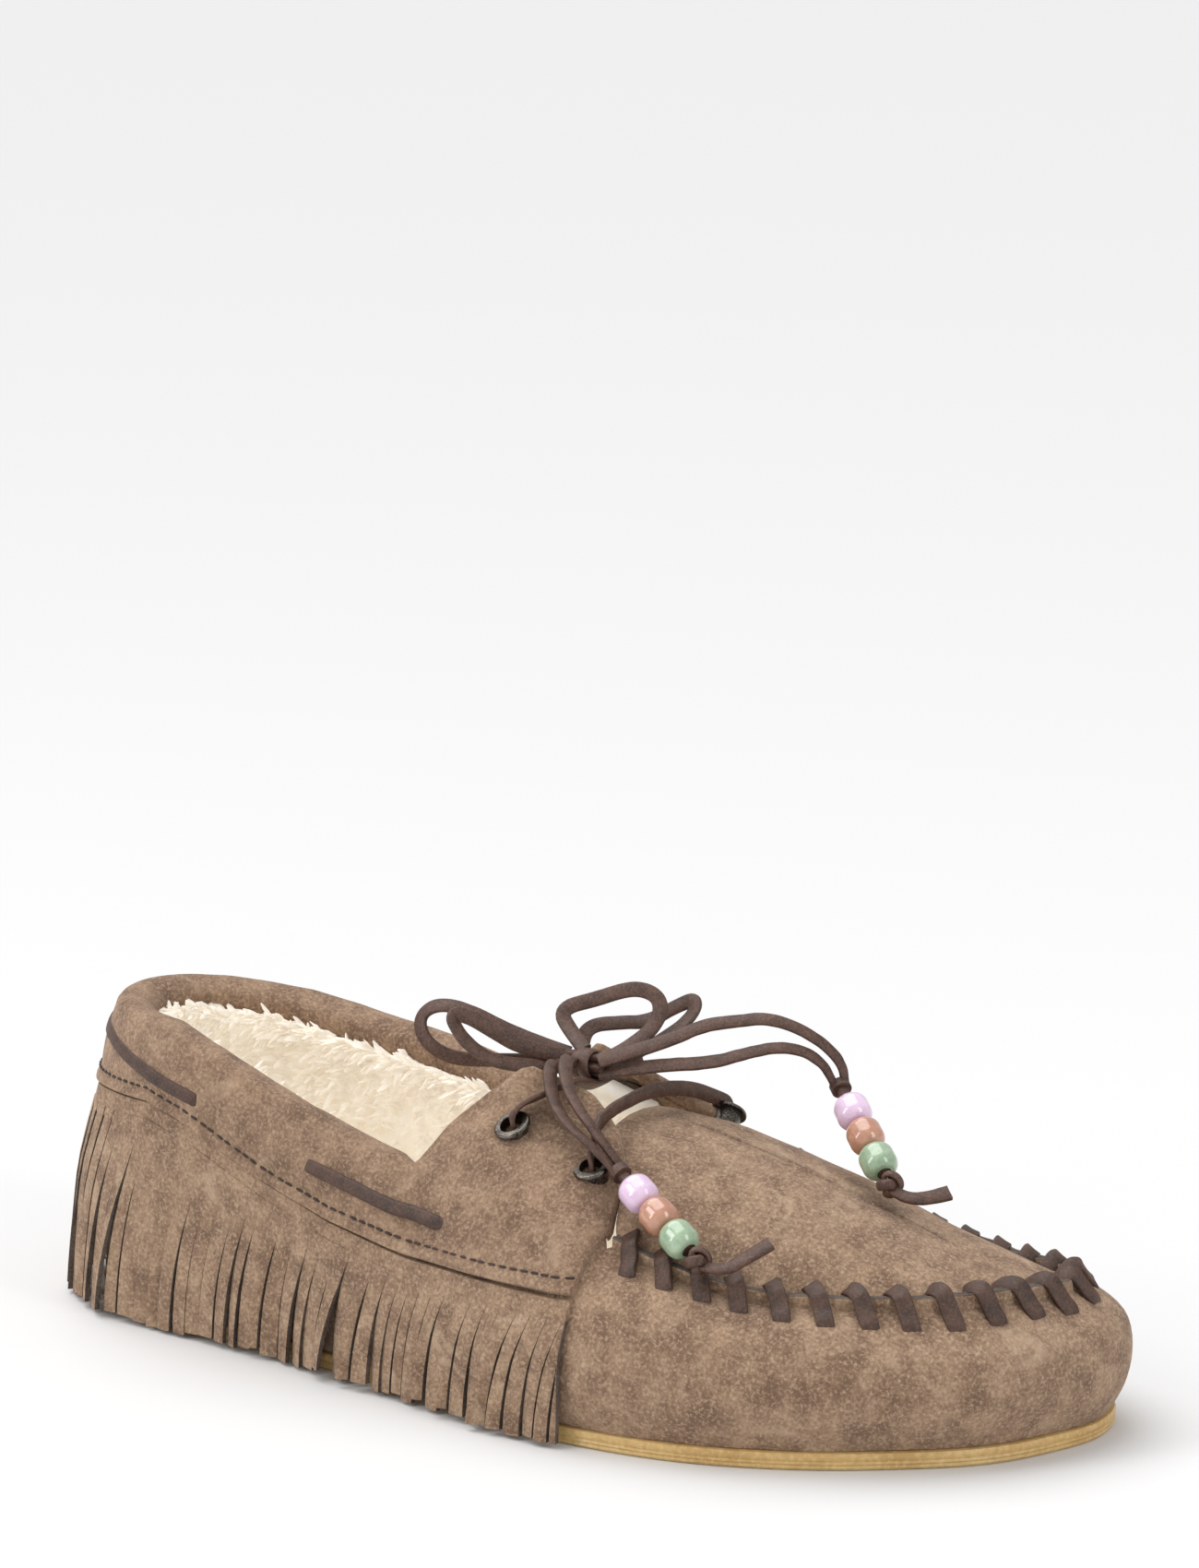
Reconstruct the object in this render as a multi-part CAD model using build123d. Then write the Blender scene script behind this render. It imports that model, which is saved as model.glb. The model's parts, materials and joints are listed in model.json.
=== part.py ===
from build123d import *
import math
import os

os.makedirs("parts", exist_ok=True)

# A women's slip-on moccasin for the right foot, in millimetres.
# X runs from heel to toe, Y to the wearer's left (the inner side of the foot), Z up.
# The floor is Z = 0 and the origin is the middle of the footprint.

# Overall sizes
sole_length = 251.5
heel_width = 62.0
ball_width = 95.0
shaft_height = 69.5
heel_x = -124.0
middle_y = 1.8

# Sole stack and footbed
outsole_thickness = 4.0
stack_gap = 0.1
insole_thickness = 1.5
footbed_thickness = 4.8
insole_inset = 3.3
footbed_inset = 9.6
lining_inset = 9.0

# Upper layers, all measured from the outer face of the base wall
leather = 1.5
layer_gap = 0.25
collar_thickness = 1.5
collar_ease = 0.15
fringe_thickness = 1.4
counter_thickness = 1.0
counter_height = 42.0
rear_pile = 5.0
front_pile = 3.2
roll_width = 6.6
roll_depth = 6.0
roll_clearance = 2.0
flap_edge_width = 1.4
flap_edge_depth = 2.0
butt_gap = 0.4
seam_ridge_height = 2.4
seam_ridge_wall = 1.2
seam_lip = 0.2
tongue_start = 144.0
tongue_clearance = 1.9

# Whip stitching over the apron seam
whip_width = 3.2
whip_strip = 1.0
whip_pitch = 8.9
whip_clearance = 0.15
whip_outer_leg = 2.4
whip_inner_leg = 1.0

# Thong on the collar and its slots
thong_width = 3.2
thong_thickness = 1.1
slot_length = 2.4
slot_clearance = 0.2

# Stitch line above the collar's edge
stitch_pitch = 2.8
stitch_length = 2.0
stitch_width = 0.6
stitch_height = 0.4
stitch_rise = 3.0

# Eyelets
eyelet_hole = 5.4
eyelet_flange = 8.4
eyelet_flange_thickness = 0.9
eyelet_wall = 0.4
eyelet_fit = 0.1
washer_thickness = 0.5
washer_width = 8.2
eyelet_rear_x = 126.0
eyelet_front_x = 148.0
eyelet_rear_z = 60.0
eyelet_front_z = 53.4

# Laces, beads and knots; the flat lace is drawn as a round one of the same section area
lace_diameter = 2.2
bead_diameter = 8.0
bead_length = 7.9
bead_bore = 3.3
bead_core = 2.7
bead_gap = 0.05
bead_round = 2.9
outer_bead_travel = 0.8
inner_bead_travel = 1.0
core_head_diameter = 4.6
core_head_length = 2.0
stop_knot_diameter = 6.4
stop_knot_length = 6.6
knot_length = 11.0
knot_width = 8.0
knot_height = 7.0
knot_round = 2.8

# The size that the outline and the profiles below are drawn at
drawn_length = 251.5
drawn_heel = 62.0
drawn_ball = 95.0
drawn_height = 69.5
drawn_sole = 4.0

# Sole outline from the middle of the heel along the outer side to the toe and back
OUTLINE = [
    (0, 0), (5, -15), (18, -25.5), (40, -31), (75, -35), (115, -43), (150, -49.5), (180, -47.5),
    (205, -38.5), (225, -25.5), (240.5, -11), (249, 6), (251.5, 19), (247, 32), (233, 41),
    (210, 45.5), (180, 45), (145, 38), (110, 31), (75, 28.5), (40, 28.5), (18, 24.5), (5, 14.5),
]
TOE_INDEX = 12

# Wall profiles: distance from the heel, then six (outward from the sole edge, height) points
OUTER_SIDE = [
    (0, [(-1, 4), (0.5, 17), (-0.5, 34), (-2, 50), (-4.5, 60), (-8, 69)]),
    (35, [(-1, 4), (0.5, 17), (1, 34), (0.5, 51), (0, 60), (-2.5, 69.5)]),
    (75, [(-1, 4), (1, 14), (1.5, 26), (1, 38), (0.5, 48), (-2.5, 57)]),
    (107, [(-1, 4), (1, 12), (1, 22), (-0.5, 34), (-3, 43), (-6.5, 49.5)]),
    (111, [(-1, 4), (1, 13), (0.3, 25), (-2, 37), (-7, 49), (-14, 59)]),
    (120, [(-1, 4), (1, 13), (0, 26), (-4, 42), (-13, 58), (-28, 71)]),
    (131, [(-1, 4), (1, 13), (0, 26), (-4.5, 41), (-15, 56), (-36, 65)]),
    (146, [(-1, 4), (1, 13), (-0.5, 25), (-5.5, 38), (-17, 51.5), (-32, 59)]),
    (152, [(-1, 4), (1.2, 12.5), (0.2, 23.5), (-4, 35), (-13, 46), (-29, 54)]),
    (158, [(-1, 4), (1.5, 12), (1, 22), (-3, 31), (-8.5, 37.5), (-16, 42)]),
    (175, [(-1, 4), (2, 12), (2, 20), (-1.5, 29), (-7, 35), (-14, 37.4)]),
    (205, [(-1, 4), (2.5, 12), (3, 19), (1.5, 26), (-3, 31), (-10.5, 32.8)]),
    (230, [(-1, 4), (3, 11), (4.5, 17), (3, 24), (-2, 29), (-8.5, 31)]),
    (251.5, [(-1, 4), (2, 10), (3.2, 17), (2, 24), (-2.5, 28), (-9, 29.2)]),
]
INNER_SIDE = [
    (0, [(-1, 4), (0.5, 17), (-0.5, 34), (-2, 50), (-4.5, 60), (-8, 69)]),
    (35, [(-1, 4), (0.5, 16), (1, 32), (0.5, 48), (0, 57), (-2.5, 65)]),
    (75, [(-1, 4), (1, 14), (1.5, 26), (1, 39), (0.5, 50), (-2.5, 60)]),
    (107, [(-1, 4), (1, 12), (1, 22), (-0.5, 35), (-3, 46), (-6.5, 55)]),
    (112, [(-1, 4), (1, 13), (0.3, 25), (-2, 38), (-7, 51), (-14, 61)]),
    (120, [(-1, 4), (1, 13), (0, 26), (-3, 42), (-10, 57), (-19, 68.5)]),
    (131, [(-1, 4), (1, 13), (0, 26), (-3, 41), (-9, 54), (-18, 63)]),
    (146, [(-1, 4), (1, 13), (-0.5, 25), (-3, 37), (-8, 47), (-15, 55)]),
    (152, [(-1, 4), (1.2, 12.5), (0.2, 23.5), (-2, 34), (-6.5, 43), (-13, 50)]),
    (158, [(-1, 4), (1.5, 12), (1, 22), (-1, 31), (-4.5, 37.5), (-9, 41)]),
    (175, [(-1, 4), (2, 12), (3, 20), (2, 28), (-1, 34), (-6, 36)]),
    (205, [(-1, 4), (2.5, 12), (4, 18), (3, 25), (-1, 30), (-7.5, 31)]),
    (230, [(-1, 4), (2.5, 11), (3.8, 17), (2.5, 23.5), (-2, 28), (-8.5, 29)]),
    (251.5, [(-1, 4), (2, 10), (3.2, 17), (2, 24), (-2.5, 28), (-9, 29.2)]),
]

# Lower edge of the collar, distance from the heel and height
COLLAR_EDGE = [(0, 50.5), (15, 52), (32, 53), (43, 50.6), (66.5, 41.7), (88, 36), (111, 32.7), (159, 32.3)]
# Middle of the thong that runs round the collar
THONG_LINE = [(0, 64), (14, 63.2), (36, 58.6), (49, 55.6), (79, 47.5), (105, 42), (121, 40.5)]
# Apron: distance from the heel, middle line, half width, outer edge, crest and inner edge heights
APRON = [
    (140, (0, 31, 47, 61.5, 46)), (160, (1.5, 36, 40.5, 59.5, 40)), (175, (2.6, 36.6, 37.4, 56, 36)),
    (190, (3.6, 35.4, 34.8, 52, 33)), (205, (4.8, 33, 32.8, 47, 31)), (218, (7, 29, 31.6, 42, 29.8)),
    (230, (9.5, 25.5, 30.6, 37, 29.2)), (240, (12, 22, 30, 33, 29)), (255, (13, 20, 29.4, 29.6, 28.8)),
]
APRON_POWER = 2.2


def catmull(a, b, c, d, t):
    """Smooth value between b and c."""
    return tuple(
        0.5 * (2 * q + (r - p) * t + (2 * p - 5 * q + 4 * r - u) * t * t + (3 * q - p - 3 * r + u) * t ** 3)
        for p, q, r, u in zip(a, b, c, d)
    )


def between(table, x):
    """Straight-line reading of a table of (place, values)."""
    if x <= table[0][0]:
        return table[0][1]
    for (x0, a), (x1, b) in zip(table, table[1:]):
        if x <= x1:
            t = (x - x0) / (x1 - x0)
            if isinstance(a, (int, float)):
                return a + (b - a) * t
            return tuple(p + (q - p) * t for p, q in zip(a, b))
    return table[-1][1]


def width_stretch(x):
    """How much wider than drawn the shoe is at this distance from the heel."""
    front = min(max((x / drawn_length - 0.1) / 0.4, 0), 1)
    return heel_width / drawn_heel * (1 - front) + ball_width / drawn_ball * front


def height(z):
    """Drawn height to real height."""
    rise = (shaft_height - outsole_thickness) / (drawn_height - drawn_sole)
    return outsole_thickness + (z - drawn_sole) * rise


def outline(s):
    """Point of the sole outline; s counts the drawn points, from the heel along the outer side."""
    n = len(OUTLINE)
    i = math.floor(s)
    x, y = catmull(*[OUTLINE[(i + k) % n] for k in (-1, 0, 1, 2)], s - i)
    return x * sole_length / drawn_length, y * width_stretch(x)


def outward(s):
    """Unit vector out of the sole outline."""
    (x0, y0), (x1, y1) = outline(s - 0.02), outline(s + 0.02)
    length = math.hypot(x1 - x0, y1 - y0)
    return (y1 - y0) / length, (x0 - x1) / length


def drawn_x(s):
    return outline(s)[0] * drawn_length / sole_length


def apron_height(x, y):
    """Height of the apron's outer face; x and y from the middle of the heel."""
    middle, half, outer_z, crest_z, inner_z = between(APRON, x * drawn_length / sole_length)
    u = (y / width_stretch(x * drawn_length / sole_length) - middle) / half
    side = min(max((u + 1) / 2, 0), 1)
    base = outer_z + (inner_z - outer_z) * side
    crown = crest_z - (outer_z + inner_z) / 2
    return height(base + crown * (1 - min(abs(u), 1) ** APRON_POWER))


def profile(s):
    """Six (outward, height) points of the wall at this place of the outline."""
    n = len(OUTLINE)
    table = OUTER_SIDE if s % n <= TOE_INDEX else INNER_SIDE
    x = drawn_x(s)
    tables = [[(place, points[k]) for place, points in table] for k in range(6)]
    points = [between(column, x) for column in tables]
    points = [(w, height(z)) for w, z in points]
    points[0] = (points[0][0], outsole_thickness + stack_gap)
    if x > 158:
        px, py = outline(s)
        nx, ny = outward(s)
        w = points[5][0]
        points[5] = (w, apron_height(px + nx * w, py + ny * w))
    return points


def on_profile(points, h):
    """Point at share h of the way up a wall profile."""
    last = len(points) - 1
    h = h * last
    i = min(max(int(math.floor(h)), 0), last - 1)
    start = tuple(2 * a - b for a, b in zip(points[0], points[1]))
    end = tuple(2 * a - b for a, b in zip(points[last], points[last - 1]))
    around = [start] + points + [end]
    return catmull(*around[i:i + 4], h - i)


def local(s, h, d=0.0):
    """Profile point moved d out of the wall: (outward, height)."""
    points = profile(s)
    w, z = on_profile(points, h)
    (w0, z0), (w1, z1) = on_profile(points, h - 0.01), on_profile(points, h + 0.01)
    length = math.hypot(w1 - w0, z1 - z0)
    return w + d * (z1 - z0) / length, z - d * (w1 - w0) / length


def rise_direction(s, h):
    """Unit vector up along the profile."""
    points = profile(s)
    (w0, z0), (w1, z1) = on_profile(points, h - 0.01), on_profile(points, h + 0.01)
    length = math.hypot(w1 - w0, z1 - z0)
    return (w1 - w0) / length, (z1 - z0) / length


def shoe_point(x, y, z):
    """Point given from the middle of the heel, in the shoe's frame."""
    return Vector(heel_x + x, middle_y + y, z)


def place(s, w, z):
    """Point w outside the sole outline at height z, in the shoe's frame."""
    x, y = outline(s)
    nx, ny = outward(s)
    return shoe_point(x + nx * w, y + ny * w, z)


def wall(s, h, d=0.0):
    return place(s, *local(s, h, d))


def share_at(s, z):
    """Share of the profile where it reaches height z."""
    points = profile(s)
    low, high = 0.0, 1.0
    for _ in range(30):
        middle = (low + high) / 2
        if on_profile(points, middle)[1] < z:
            low = middle
        else:
            high = middle
    return low


def share_below_top(s, distance):
    """Share of the profile at a distance down the wall from its top edge."""
    points = profile(s)
    h, run = 1.0, 0.0
    step = 0.01
    while run < distance and h > step:
        (w0, z0), (w1, z1) = on_profile(points, h), on_profile(points, h - step)
        run += math.hypot(w1 - w0, z1 - z0)
        h -= step
    return h


def place_of(x, start, end):
    """Place on the outline between start and end where it is x from the heel (x as drawn)."""
    low, high = start, end
    rising = drawn_x(end) > drawn_x(start)
    for _ in range(30):
        middle = (low + high) / 2
        if (drawn_x(middle) < x) == rising:
            low = middle
        else:
            high = middle
    return low


# Sections of every layer stand at the same places of the outline, closer together on the flaps
SECTION_SPACING = ((0, 4.5, 0.5), (4.5, 6.5, 0.2), (6.5, 16.5, 0.5), (16.5, 18.5, 0.2), (18.5, 23, 0.5))


def steps(start, end):
    """Both ends and the shared section places between them."""
    margin = 0.07
    places = [start]
    for lap in (-len(OUTLINE), 0):
        for low, high, spacing in SECTION_SPACING:
            for i in range(round((high - low) / spacing)):
                s = lap + low + i * spacing
                if start + margin < s < end - margin:
                    places.append(s)
    return places + [end]


def closed_face(chains):
    """Planar face bounded by chains of points: two points make a line, more make a spline."""
    edges = [Edge.make_line(*c) if len(c) == 2 else Edge.make_spline(c) for c in chains]
    return make_face(edges)


def strip(s_values, low, high, inner, outer, points=9):
    """Solid strip along the wall; low and high give shares of the profile, inner and outer offsets."""
    faces = []
    for s in s_values:
        h0, h1 = low(s), high(s)
        d0, d1 = inner(s), outer(s)
        rows = [h0 + (h1 - h0) * i / (points - 1) for i in range(points)]
        out = [wall(s, h, d1) for h in rows]
        back = [wall(s, h, d0) for h in reversed(rows)]
        faces.append(closed_face([out, [out[-1], back[0]], back, [back[-1], out[0]]]))
    return loft(faces, ruled=True)


def outline_face(inset, z):
    """Flat face of the sole outline, moved in by inset."""
    n = len(OUTLINE)
    points = [place(i / 2, -inset, z) for i in range(2 * n)]
    return make_face(Edge.make_spline(points, periodic=True))


def slab(inset, z, thickness):
    return extrude(outline_face(inset, z), thickness, dir=(0, 0, 1))


collar_front_x = 157.2
vamp_start_x = 153.0
seam_start_x = 160.0
lining_join_x = 133.0
outer_front = place_of(collar_front_x, 6, 7)
inner_front = place_of(collar_front_x, 17, 16)
outer_flap = place_of(lining_join_x, 5, 6)
inner_flap = place_of(lining_join_x, 18, 17)
seam_start = place_of(seam_start_x, 6, 7)
seam_end = place_of(seam_start_x, 17, 16)
vamp_start = place_of(vamp_start_x, 6, 7)
vamp_end = place_of(vamp_start_x, 17, 16)
turn = len(OUTLINE)


def outsole():
    return slab(0, 0, outsole_thickness)


def insole_board():
    return slab(insole_inset, outsole_thickness + stack_gap, insole_thickness)


footbed_z = outsole_thickness + insole_thickness + 2 * stack_gap
lining_z = footbed_z


def footbed():
    return slab(footbed_inset, footbed_z, footbed_thickness)


def edge_roll(s):
    """Width and depth of the collar's turned top edge: a fat roll behind, a thin one on the flaps."""
    x = drawn_x(s)
    width = between([(100, roll_width), (109, flap_edge_width)], x)
    depth = between([(100, roll_depth), (109, flap_edge_depth)], x)
    return width, depth


def base_top(s):
    """Where the base leather stops under the collar's turned edge."""
    return share_below_top(s, edge_roll(s)[1] + roll_clearance)


def quarter(start, end):
    """Base leather of one side, from the heel to the vamp."""
    return strip(steps(start, end), lambda s: 0, base_top, lambda s: -leather, lambda s: 0)


def seam_point(s):
    """Upper edge of the vamp, where the apron meets it: (outward, height)."""
    return local(s, 1.0)


def ridge(outer, inner, sink):
    """Upturned edge along the seam between two distances from the vamp's upper edge."""
    faces = []
    for s in steps(seam_start, seam_end):
        w, z = seam_point(s)
        low, high = z - sink, z + seam_ridge_height
        corners = [(w + outer, low), (w + outer, high), (w + inner, high), (w + inner, low)]
        points = [place(s, *corner) for corner in corners]
        faces.append(closed_face([[a, b] for a, b in zip(points, points[1:] + points[:1])]))
    return loft(faces, ruled=True)


def vamp():
    """Toe box and sides in one piece, with the upturned edge that the apron is sewn to."""

    def top(s):
        x = drawn_x(s)
        if x >= seam_start_x:
            return 1.0
        share = max(0, (x - collar_front_x) / (seam_start_x - collar_front_x))
        return base_top(s) * (1 - share) + share

    places = sorted(steps(vamp_start, vamp_end) + [outer_front, inner_front])
    side = strip(places, lambda s: 0, top, lambda s: -leather, lambda s: 0)
    return side + ridge(seam_ridge_wall - seam_lip, -seam_lip, seam_ridge_wall)


def apron_face(inset):
    """Plan of the apron inside the seam, with the short tongue behind it."""
    seam = [place(s, seam_point(s)[0] - inset, 0) for s in steps(seam_start, seam_end)]
    half = between([(140, 20.0), (160, 34.0)], tongue_start) * width_stretch(tongue_start)
    tongue_x = tongue_start * sole_length / drawn_length
    inner = shoe_point(tongue_x, half - 2 - inset, 0)
    outer = shoe_point(tongue_x, -half + 4 + inset, 0)
    rear = [seam[-1], inner, outer, seam[0]]
    sides = [Edge.make_line(a, b) for a, b in zip(rear, rear[1:])]
    return make_face([Edge.make_spline(seam)] + sides)


def crown_slab(bottom, top):
    """Slab that follows the apron's crown from one height over it to another."""
    faces = []
    start, end, reach = 138.0, 255.0, 44.0
    for i in range(14):
        x = (start + (end - start) * i / 13) * sole_length / drawn_length
        ys = [(-reach + 4 + 2 * reach * k / 12) * ball_width / drawn_ball for k in range(13)]
        over = [shoe_point(x, y, apron_height(x, y) + top) for y in ys]
        under = [shoe_point(x, y, apron_height(x, y) + bottom) for y in reversed(ys)]
        faces.append(closed_face([over, [over[-1], under[0]], under, [under[-1], over[0]]]))
    return loft(faces, ruled=True)


def apron_prism(inset):
    return extrude(apron_face(inset), shaft_height * 2, dir=(0, 0, 1))


def flap_space(start, end):
    """Room taken by a flap and everything outside it, which the tongue passes under."""
    reach = 14.0
    return strip(
        steps(start, end),
        lambda s: 0.45,
        lambda s: 1.02,
        lambda s: -leather - tongue_clearance,
        lambda s: reach,
    )


def apron():
    """Top piece over the toes: a crowned plate, its upturned edge and a short tongue."""
    edge = seam_lip + layer_gap
    plate = crown_slab(-leather, 0) & apron_prism(edge + seam_ridge_wall / 2)
    plate -= flap_space(outer_flap, outer_front)
    plate -= flap_space(inner_front, inner_flap)
    plate = max(plate.solids(), key=lambda solid: solid.volume)
    return plate + ridge(-edge, -edge - seam_ridge_wall, seam_ridge_wall / 2)


def apron_lining():
    top = -leather - layer_gap
    pile = crown_slab(top - front_pile, top) & apron_prism(lining_inset)
    pile -= flap_space(outer_flap, outer_front)
    pile -= flap_space(inner_front, inner_flap)
    return max(pile.solids(), key=lambda solid: solid.volume)


def collar():
    """Band round the heel and the two eyelet flaps, turned over at the top edge."""
    faces = []
    for s in steps(inner_front - turn, outer_front):
        low = share_at(s, height(between(COLLAR_EDGE, drawn_x(s))))
        width, depth = edge_roll(s)
        outer, inner = layer_gap + collar_thickness, layer_gap + collar_ease
        h_under = share_below_top(s, depth)
        rows = [low + (1.0 - low) * i / 6 for i in range(7)]
        out = [local(s, h, outer) for h in rows]
        (w, z), (tw, tz) = local(s, 1.0), rise_direction(s, 1.0)
        nw, nz = tz, -tw
        crest = (outer - (outer + width) / 2)
        roll = [
            (w + nw * crest + tw * (outer + width) * 0.28, z + nz * crest + tz * (outer + width) * 0.28),
            (w - nw * width - tw * depth * 0.45, z - nz * width - tz * depth * 0.45),
        ]
        lip = (w - nw * width - tw * depth, z - nz * width - tz * depth)
        tuck = local(s, h_under, inner)
        back_rows = [h_under + (low - h_under) * i / 6 for i in range(7)]
        back = [local(s, h, inner) for h in back_rows]
        chains = [out + roll, [roll[-1], lip], [lip, tuck], back, [back[-1], out[0]]]
        faces.append(closed_face([[place(s, *p) for p in chain] for chain in chains]))
    return loft(faces, ruled=True)


def fringe(start, end):
    """Suede panel under the collar's edge, flaring down to the floor."""
    faces = []
    for s in steps(start, end):
        x = drawn_x(s)
        top_z = height(between(COLLAR_EDGE, x)) - 0.4
        heel = between([(10, 1.0), (45, 0.0)], x)
        top = local(s, share_at(s, top_z), layer_gap)[0]
        rows = [
            (top, top_z),
            (max(top, 1.2) + 0.4 + 1.6 * heel, top_z * 0.62 + 1),
            (2.0 + 2.6 * heel, top_z * 0.3 + 1),
            (2.2 + 3.4 * heel, 0.8),
        ]
        inner = rows
        outer = [(w + fringe_thickness, z) for w, z in reversed(rows)]
        chains = [inner, [inner[-1], outer[0]], outer, [outer[-1], inner[0]]]
        faces.append(closed_face([[place(s, *p) for p in chain] for chain in chains]))
    return loft(faces, ruled=True)


def heel_counter():
    inner = -leather - layer_gap - counter_thickness
    return strip(
        steps(-2.6, 2.6),
        lambda s: share_at(s, lining_z),
        lambda s: share_at(s, height(counter_height)),
        lambda s: inner,
        lambda s: -leather - layer_gap,
    )


rear_lining_offset = leather + 2 * layer_gap + counter_thickness


def rear_lining():
    """Pile lining of the heel and the flaps, from the footbed to the collar's roll."""
    return strip(
        steps(inner_flap - turn, outer_flap),
        lambda s: share_at(s, lining_z + 0.3),
        lambda s: share_below_top(s, edge_roll(s)[1] + roll_clearance),
        lambda s: -rear_lining_offset - rear_pile,
        lambda s: -rear_lining_offset,
    )


def vamp_lining():
    """Pile lining of the toe box."""
    join = lining_join_x + butt_gap * 2

    def top(s):
        return between([(150, 0.62), (165, 0.8)], drawn_x(s))

    return strip(
        steps(place_of(join, 5, 7), place_of(join, 18, 16)),
        lambda s: share_at(s, lining_z + 0.3),
        top,
        lambda s: -leather - layer_gap - front_pile,
        lambda s: -leather - layer_gap,
    )


def thong_level(s, shift):
    return share_at(s, height(between(THONG_LINE, drawn_x(s)) + shift))


thong_lift = layer_gap + collar_thickness + 0.1


def thong_strip(start, end, half, inner, outer):
    """Strip along the thong's line, half its width to each side."""
    return strip(
        steps(start, end),
        lambda s: thong_level(s, -half),
        lambda s: thong_level(s, half),
        lambda s: inner,
        lambda s: outer,
        points=3,
    )


def slot_ends(s, margin):
    """Outline places at both ends of a slot that is centred on s."""
    step = outline(s + 0.01)
    here = outline(s)
    run = math.hypot(step[0] - here[0], step[1] - here[1]) * 100
    half = slot_length / 2 + margin
    return s - half / run, s + half / run


def thong(start, end):
    """Flat lace lying on the collar, with both ends turned down into slots."""
    half = thong_width / 2
    band = thong_strip(slot_ends(start, 0)[0], slot_ends(end, 0)[1], half, thong_lift, thong_lift + thong_thickness)
    for s in (start, end):
        band += thong_strip(*slot_ends(s, 0), half, layer_gap, thong_lift + thong_thickness / 2)
    return band


def thong_slot(s):
    half = thong_width / 2 + slot_clearance
    return thong_strip(*slot_ends(s, slot_clearance), half, -0.1, thong_lift + 1)


thong_spans = [
    (place_of(49, 19, 21) - turn, place_of(49, 2, 4)),
    (place_of(79, 3, 5), place_of(120, 4, 6)),
    (place_of(120, 17, 19), place_of(79, 18, 20)),
]


def spaced(start, end, pitch, point):
    """Places at an even spacing along the line that point(s) follows."""
    fine = [start + (end - start) * i / 600 for i in range(601)]
    line = [point(s) for s in fine]
    runs = [(b - a).length for a, b in zip(line, line[1:])]
    spacing = sum(runs) / round(sum(runs) / pitch)
    places, run, target = [], 0.0, spacing / 2
    for s, length in zip(fine, runs):
        run += length
        if run >= target:
            places.append(s)
            target += spacing
    return places


def whip_stitch(s):
    """One turn of lace over the two upturned edges of the seam."""
    w, z = seam_point(s)
    middle = (seam_ridge_wall - seam_lip + -seam_lip - layer_gap - seam_ridge_wall) / 2
    inner = seam_ridge_wall + layer_gap / 2 + whip_clearance
    outer = inner + whip_strip
    ahead = outline(s + 0.02)
    here = outline(s - 0.02)
    along = Vector(here[0] - ahead[0], here[1] - ahead[1], 0).normalized()
    centre = place(s, w + middle, z + seam_ridge_height - inner / 2)
    plane = Plane(origin=centre, x_dir=Vector(*outward(s), 0), z_dir=along)
    turned = (Circle(outer) - Circle(inner)) & (Pos(0, outer) * Rectangle(2 * outer, 2 * outer))
    for side, leg in ((-1, whip_inner_leg), (1, whip_outer_leg)):
        turned += Pos(side * (inner + whip_strip / 2), -leg / 2) * Rectangle(whip_strip, leg)
    return extrude(plane * turned, whip_width / 2, both=True)


def stitch_point(s):
    edge = height(between(COLLAR_EDGE, drawn_x(s)) + stitch_rise)
    return wall(s, share_at(s, edge), layer_gap + collar_thickness)


def collar_stitch(s):
    """One short stitch lying on the collar."""
    step = 0.03
    along = (stitch_point(s + step) - stitch_point(s - step)).normalized()
    out = Vector(*outward(s), 0)
    normal = (out - along * out.dot(along)).normalized()
    plane = Plane(origin=stitch_point(s), x_dir=along, z_dir=normal)
    return plane * Box(stitch_length, stitch_width, stitch_height)


def flap_place(x, z, side):
    """Place on a flap for an eyelet: outline place and share of the profile."""
    s = place_of(x, 5, 7) if side < 0 else place_of(x, 18, 16)
    return s, share_at(s, height(z))


def eyelet_frame(x, z, side):
    s, h = flap_place(x, z, side)
    seat = wall(s, h, layer_gap + collar_thickness)
    normal = (wall(s, h, 1.0) - wall(s, h, 0.0)).normalized()
    return Plane(origin=seat, z_dir=normal)


eyelet_sag = 0.6
barrel_length = collar_thickness + leather + layer_gap + eyelet_sag


def eyelet(plane):
    """Flanged ring; the flange stands on the collar and the barrel passes through to the washer."""
    outer, inner = eyelet_flange / 2, eyelet_hole / 2
    flange = Pos(0, 0, eyelet_sag) * Cylinder(
        outer, eyelet_flange_thickness, align=(Align.CENTER, Align.CENTER, Align.MIN)
    )
    flange = fillet(flange.edges().sort_by(Axis.Z)[-1], eyelet_flange_thickness * 0.6)
    barrel = Pos(0, 0, eyelet_sag) * Cylinder(
        inner + eyelet_wall, barrel_length + eyelet_sag, align=(Align.CENTER, Align.CENTER, Align.MAX)
    )
    hole = Cylinder(inner, 4 * barrel_length)
    return plane * (flange + barrel - hole)


def washer(plane):
    z = -barrel_length
    ring = Pos(0, 0, z) * Cylinder(washer_width / 2, washer_thickness, align=(Align.CENTER, Align.CENTER, Align.MAX))
    return plane * (ring - Cylinder(eyelet_hole / 2 + eyelet_wall + eyelet_fit, 8 * barrel_length))


def eyelet_cutter(plane):
    return plane * Cylinder(eyelet_hole / 2 + eyelet_wall + eyelet_fit, 6 * barrel_length)


def tongue_pocket(plane):
    """Where the tongue gives way to a washer that bears on it."""
    bottom = -barrel_length - washer_thickness - 0.1
    return plane * Pos(0, 0, bottom) * Cylinder(
        washer_width / 2 + 0.2, 12, align=(Align.CENTER, Align.CENTER, Align.MIN)
    )


def washer_cutter(plane):
    return plane * Cylinder(washer_width / 2 + 0.4, 30)


# Laces
corner_share = 0.45


def corner_radii(points):
    """The largest radius that the two runs at each corner allow."""
    radii = []
    for a, b, c in zip(points, points[1:], points[2:]):
        half_turn = math.radians((b - a).get_angle(c - b)) / 2
        radii.append(corner_share * min((b - a).length, (c - b).length) / math.tan(half_turn))
    return radii


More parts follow.
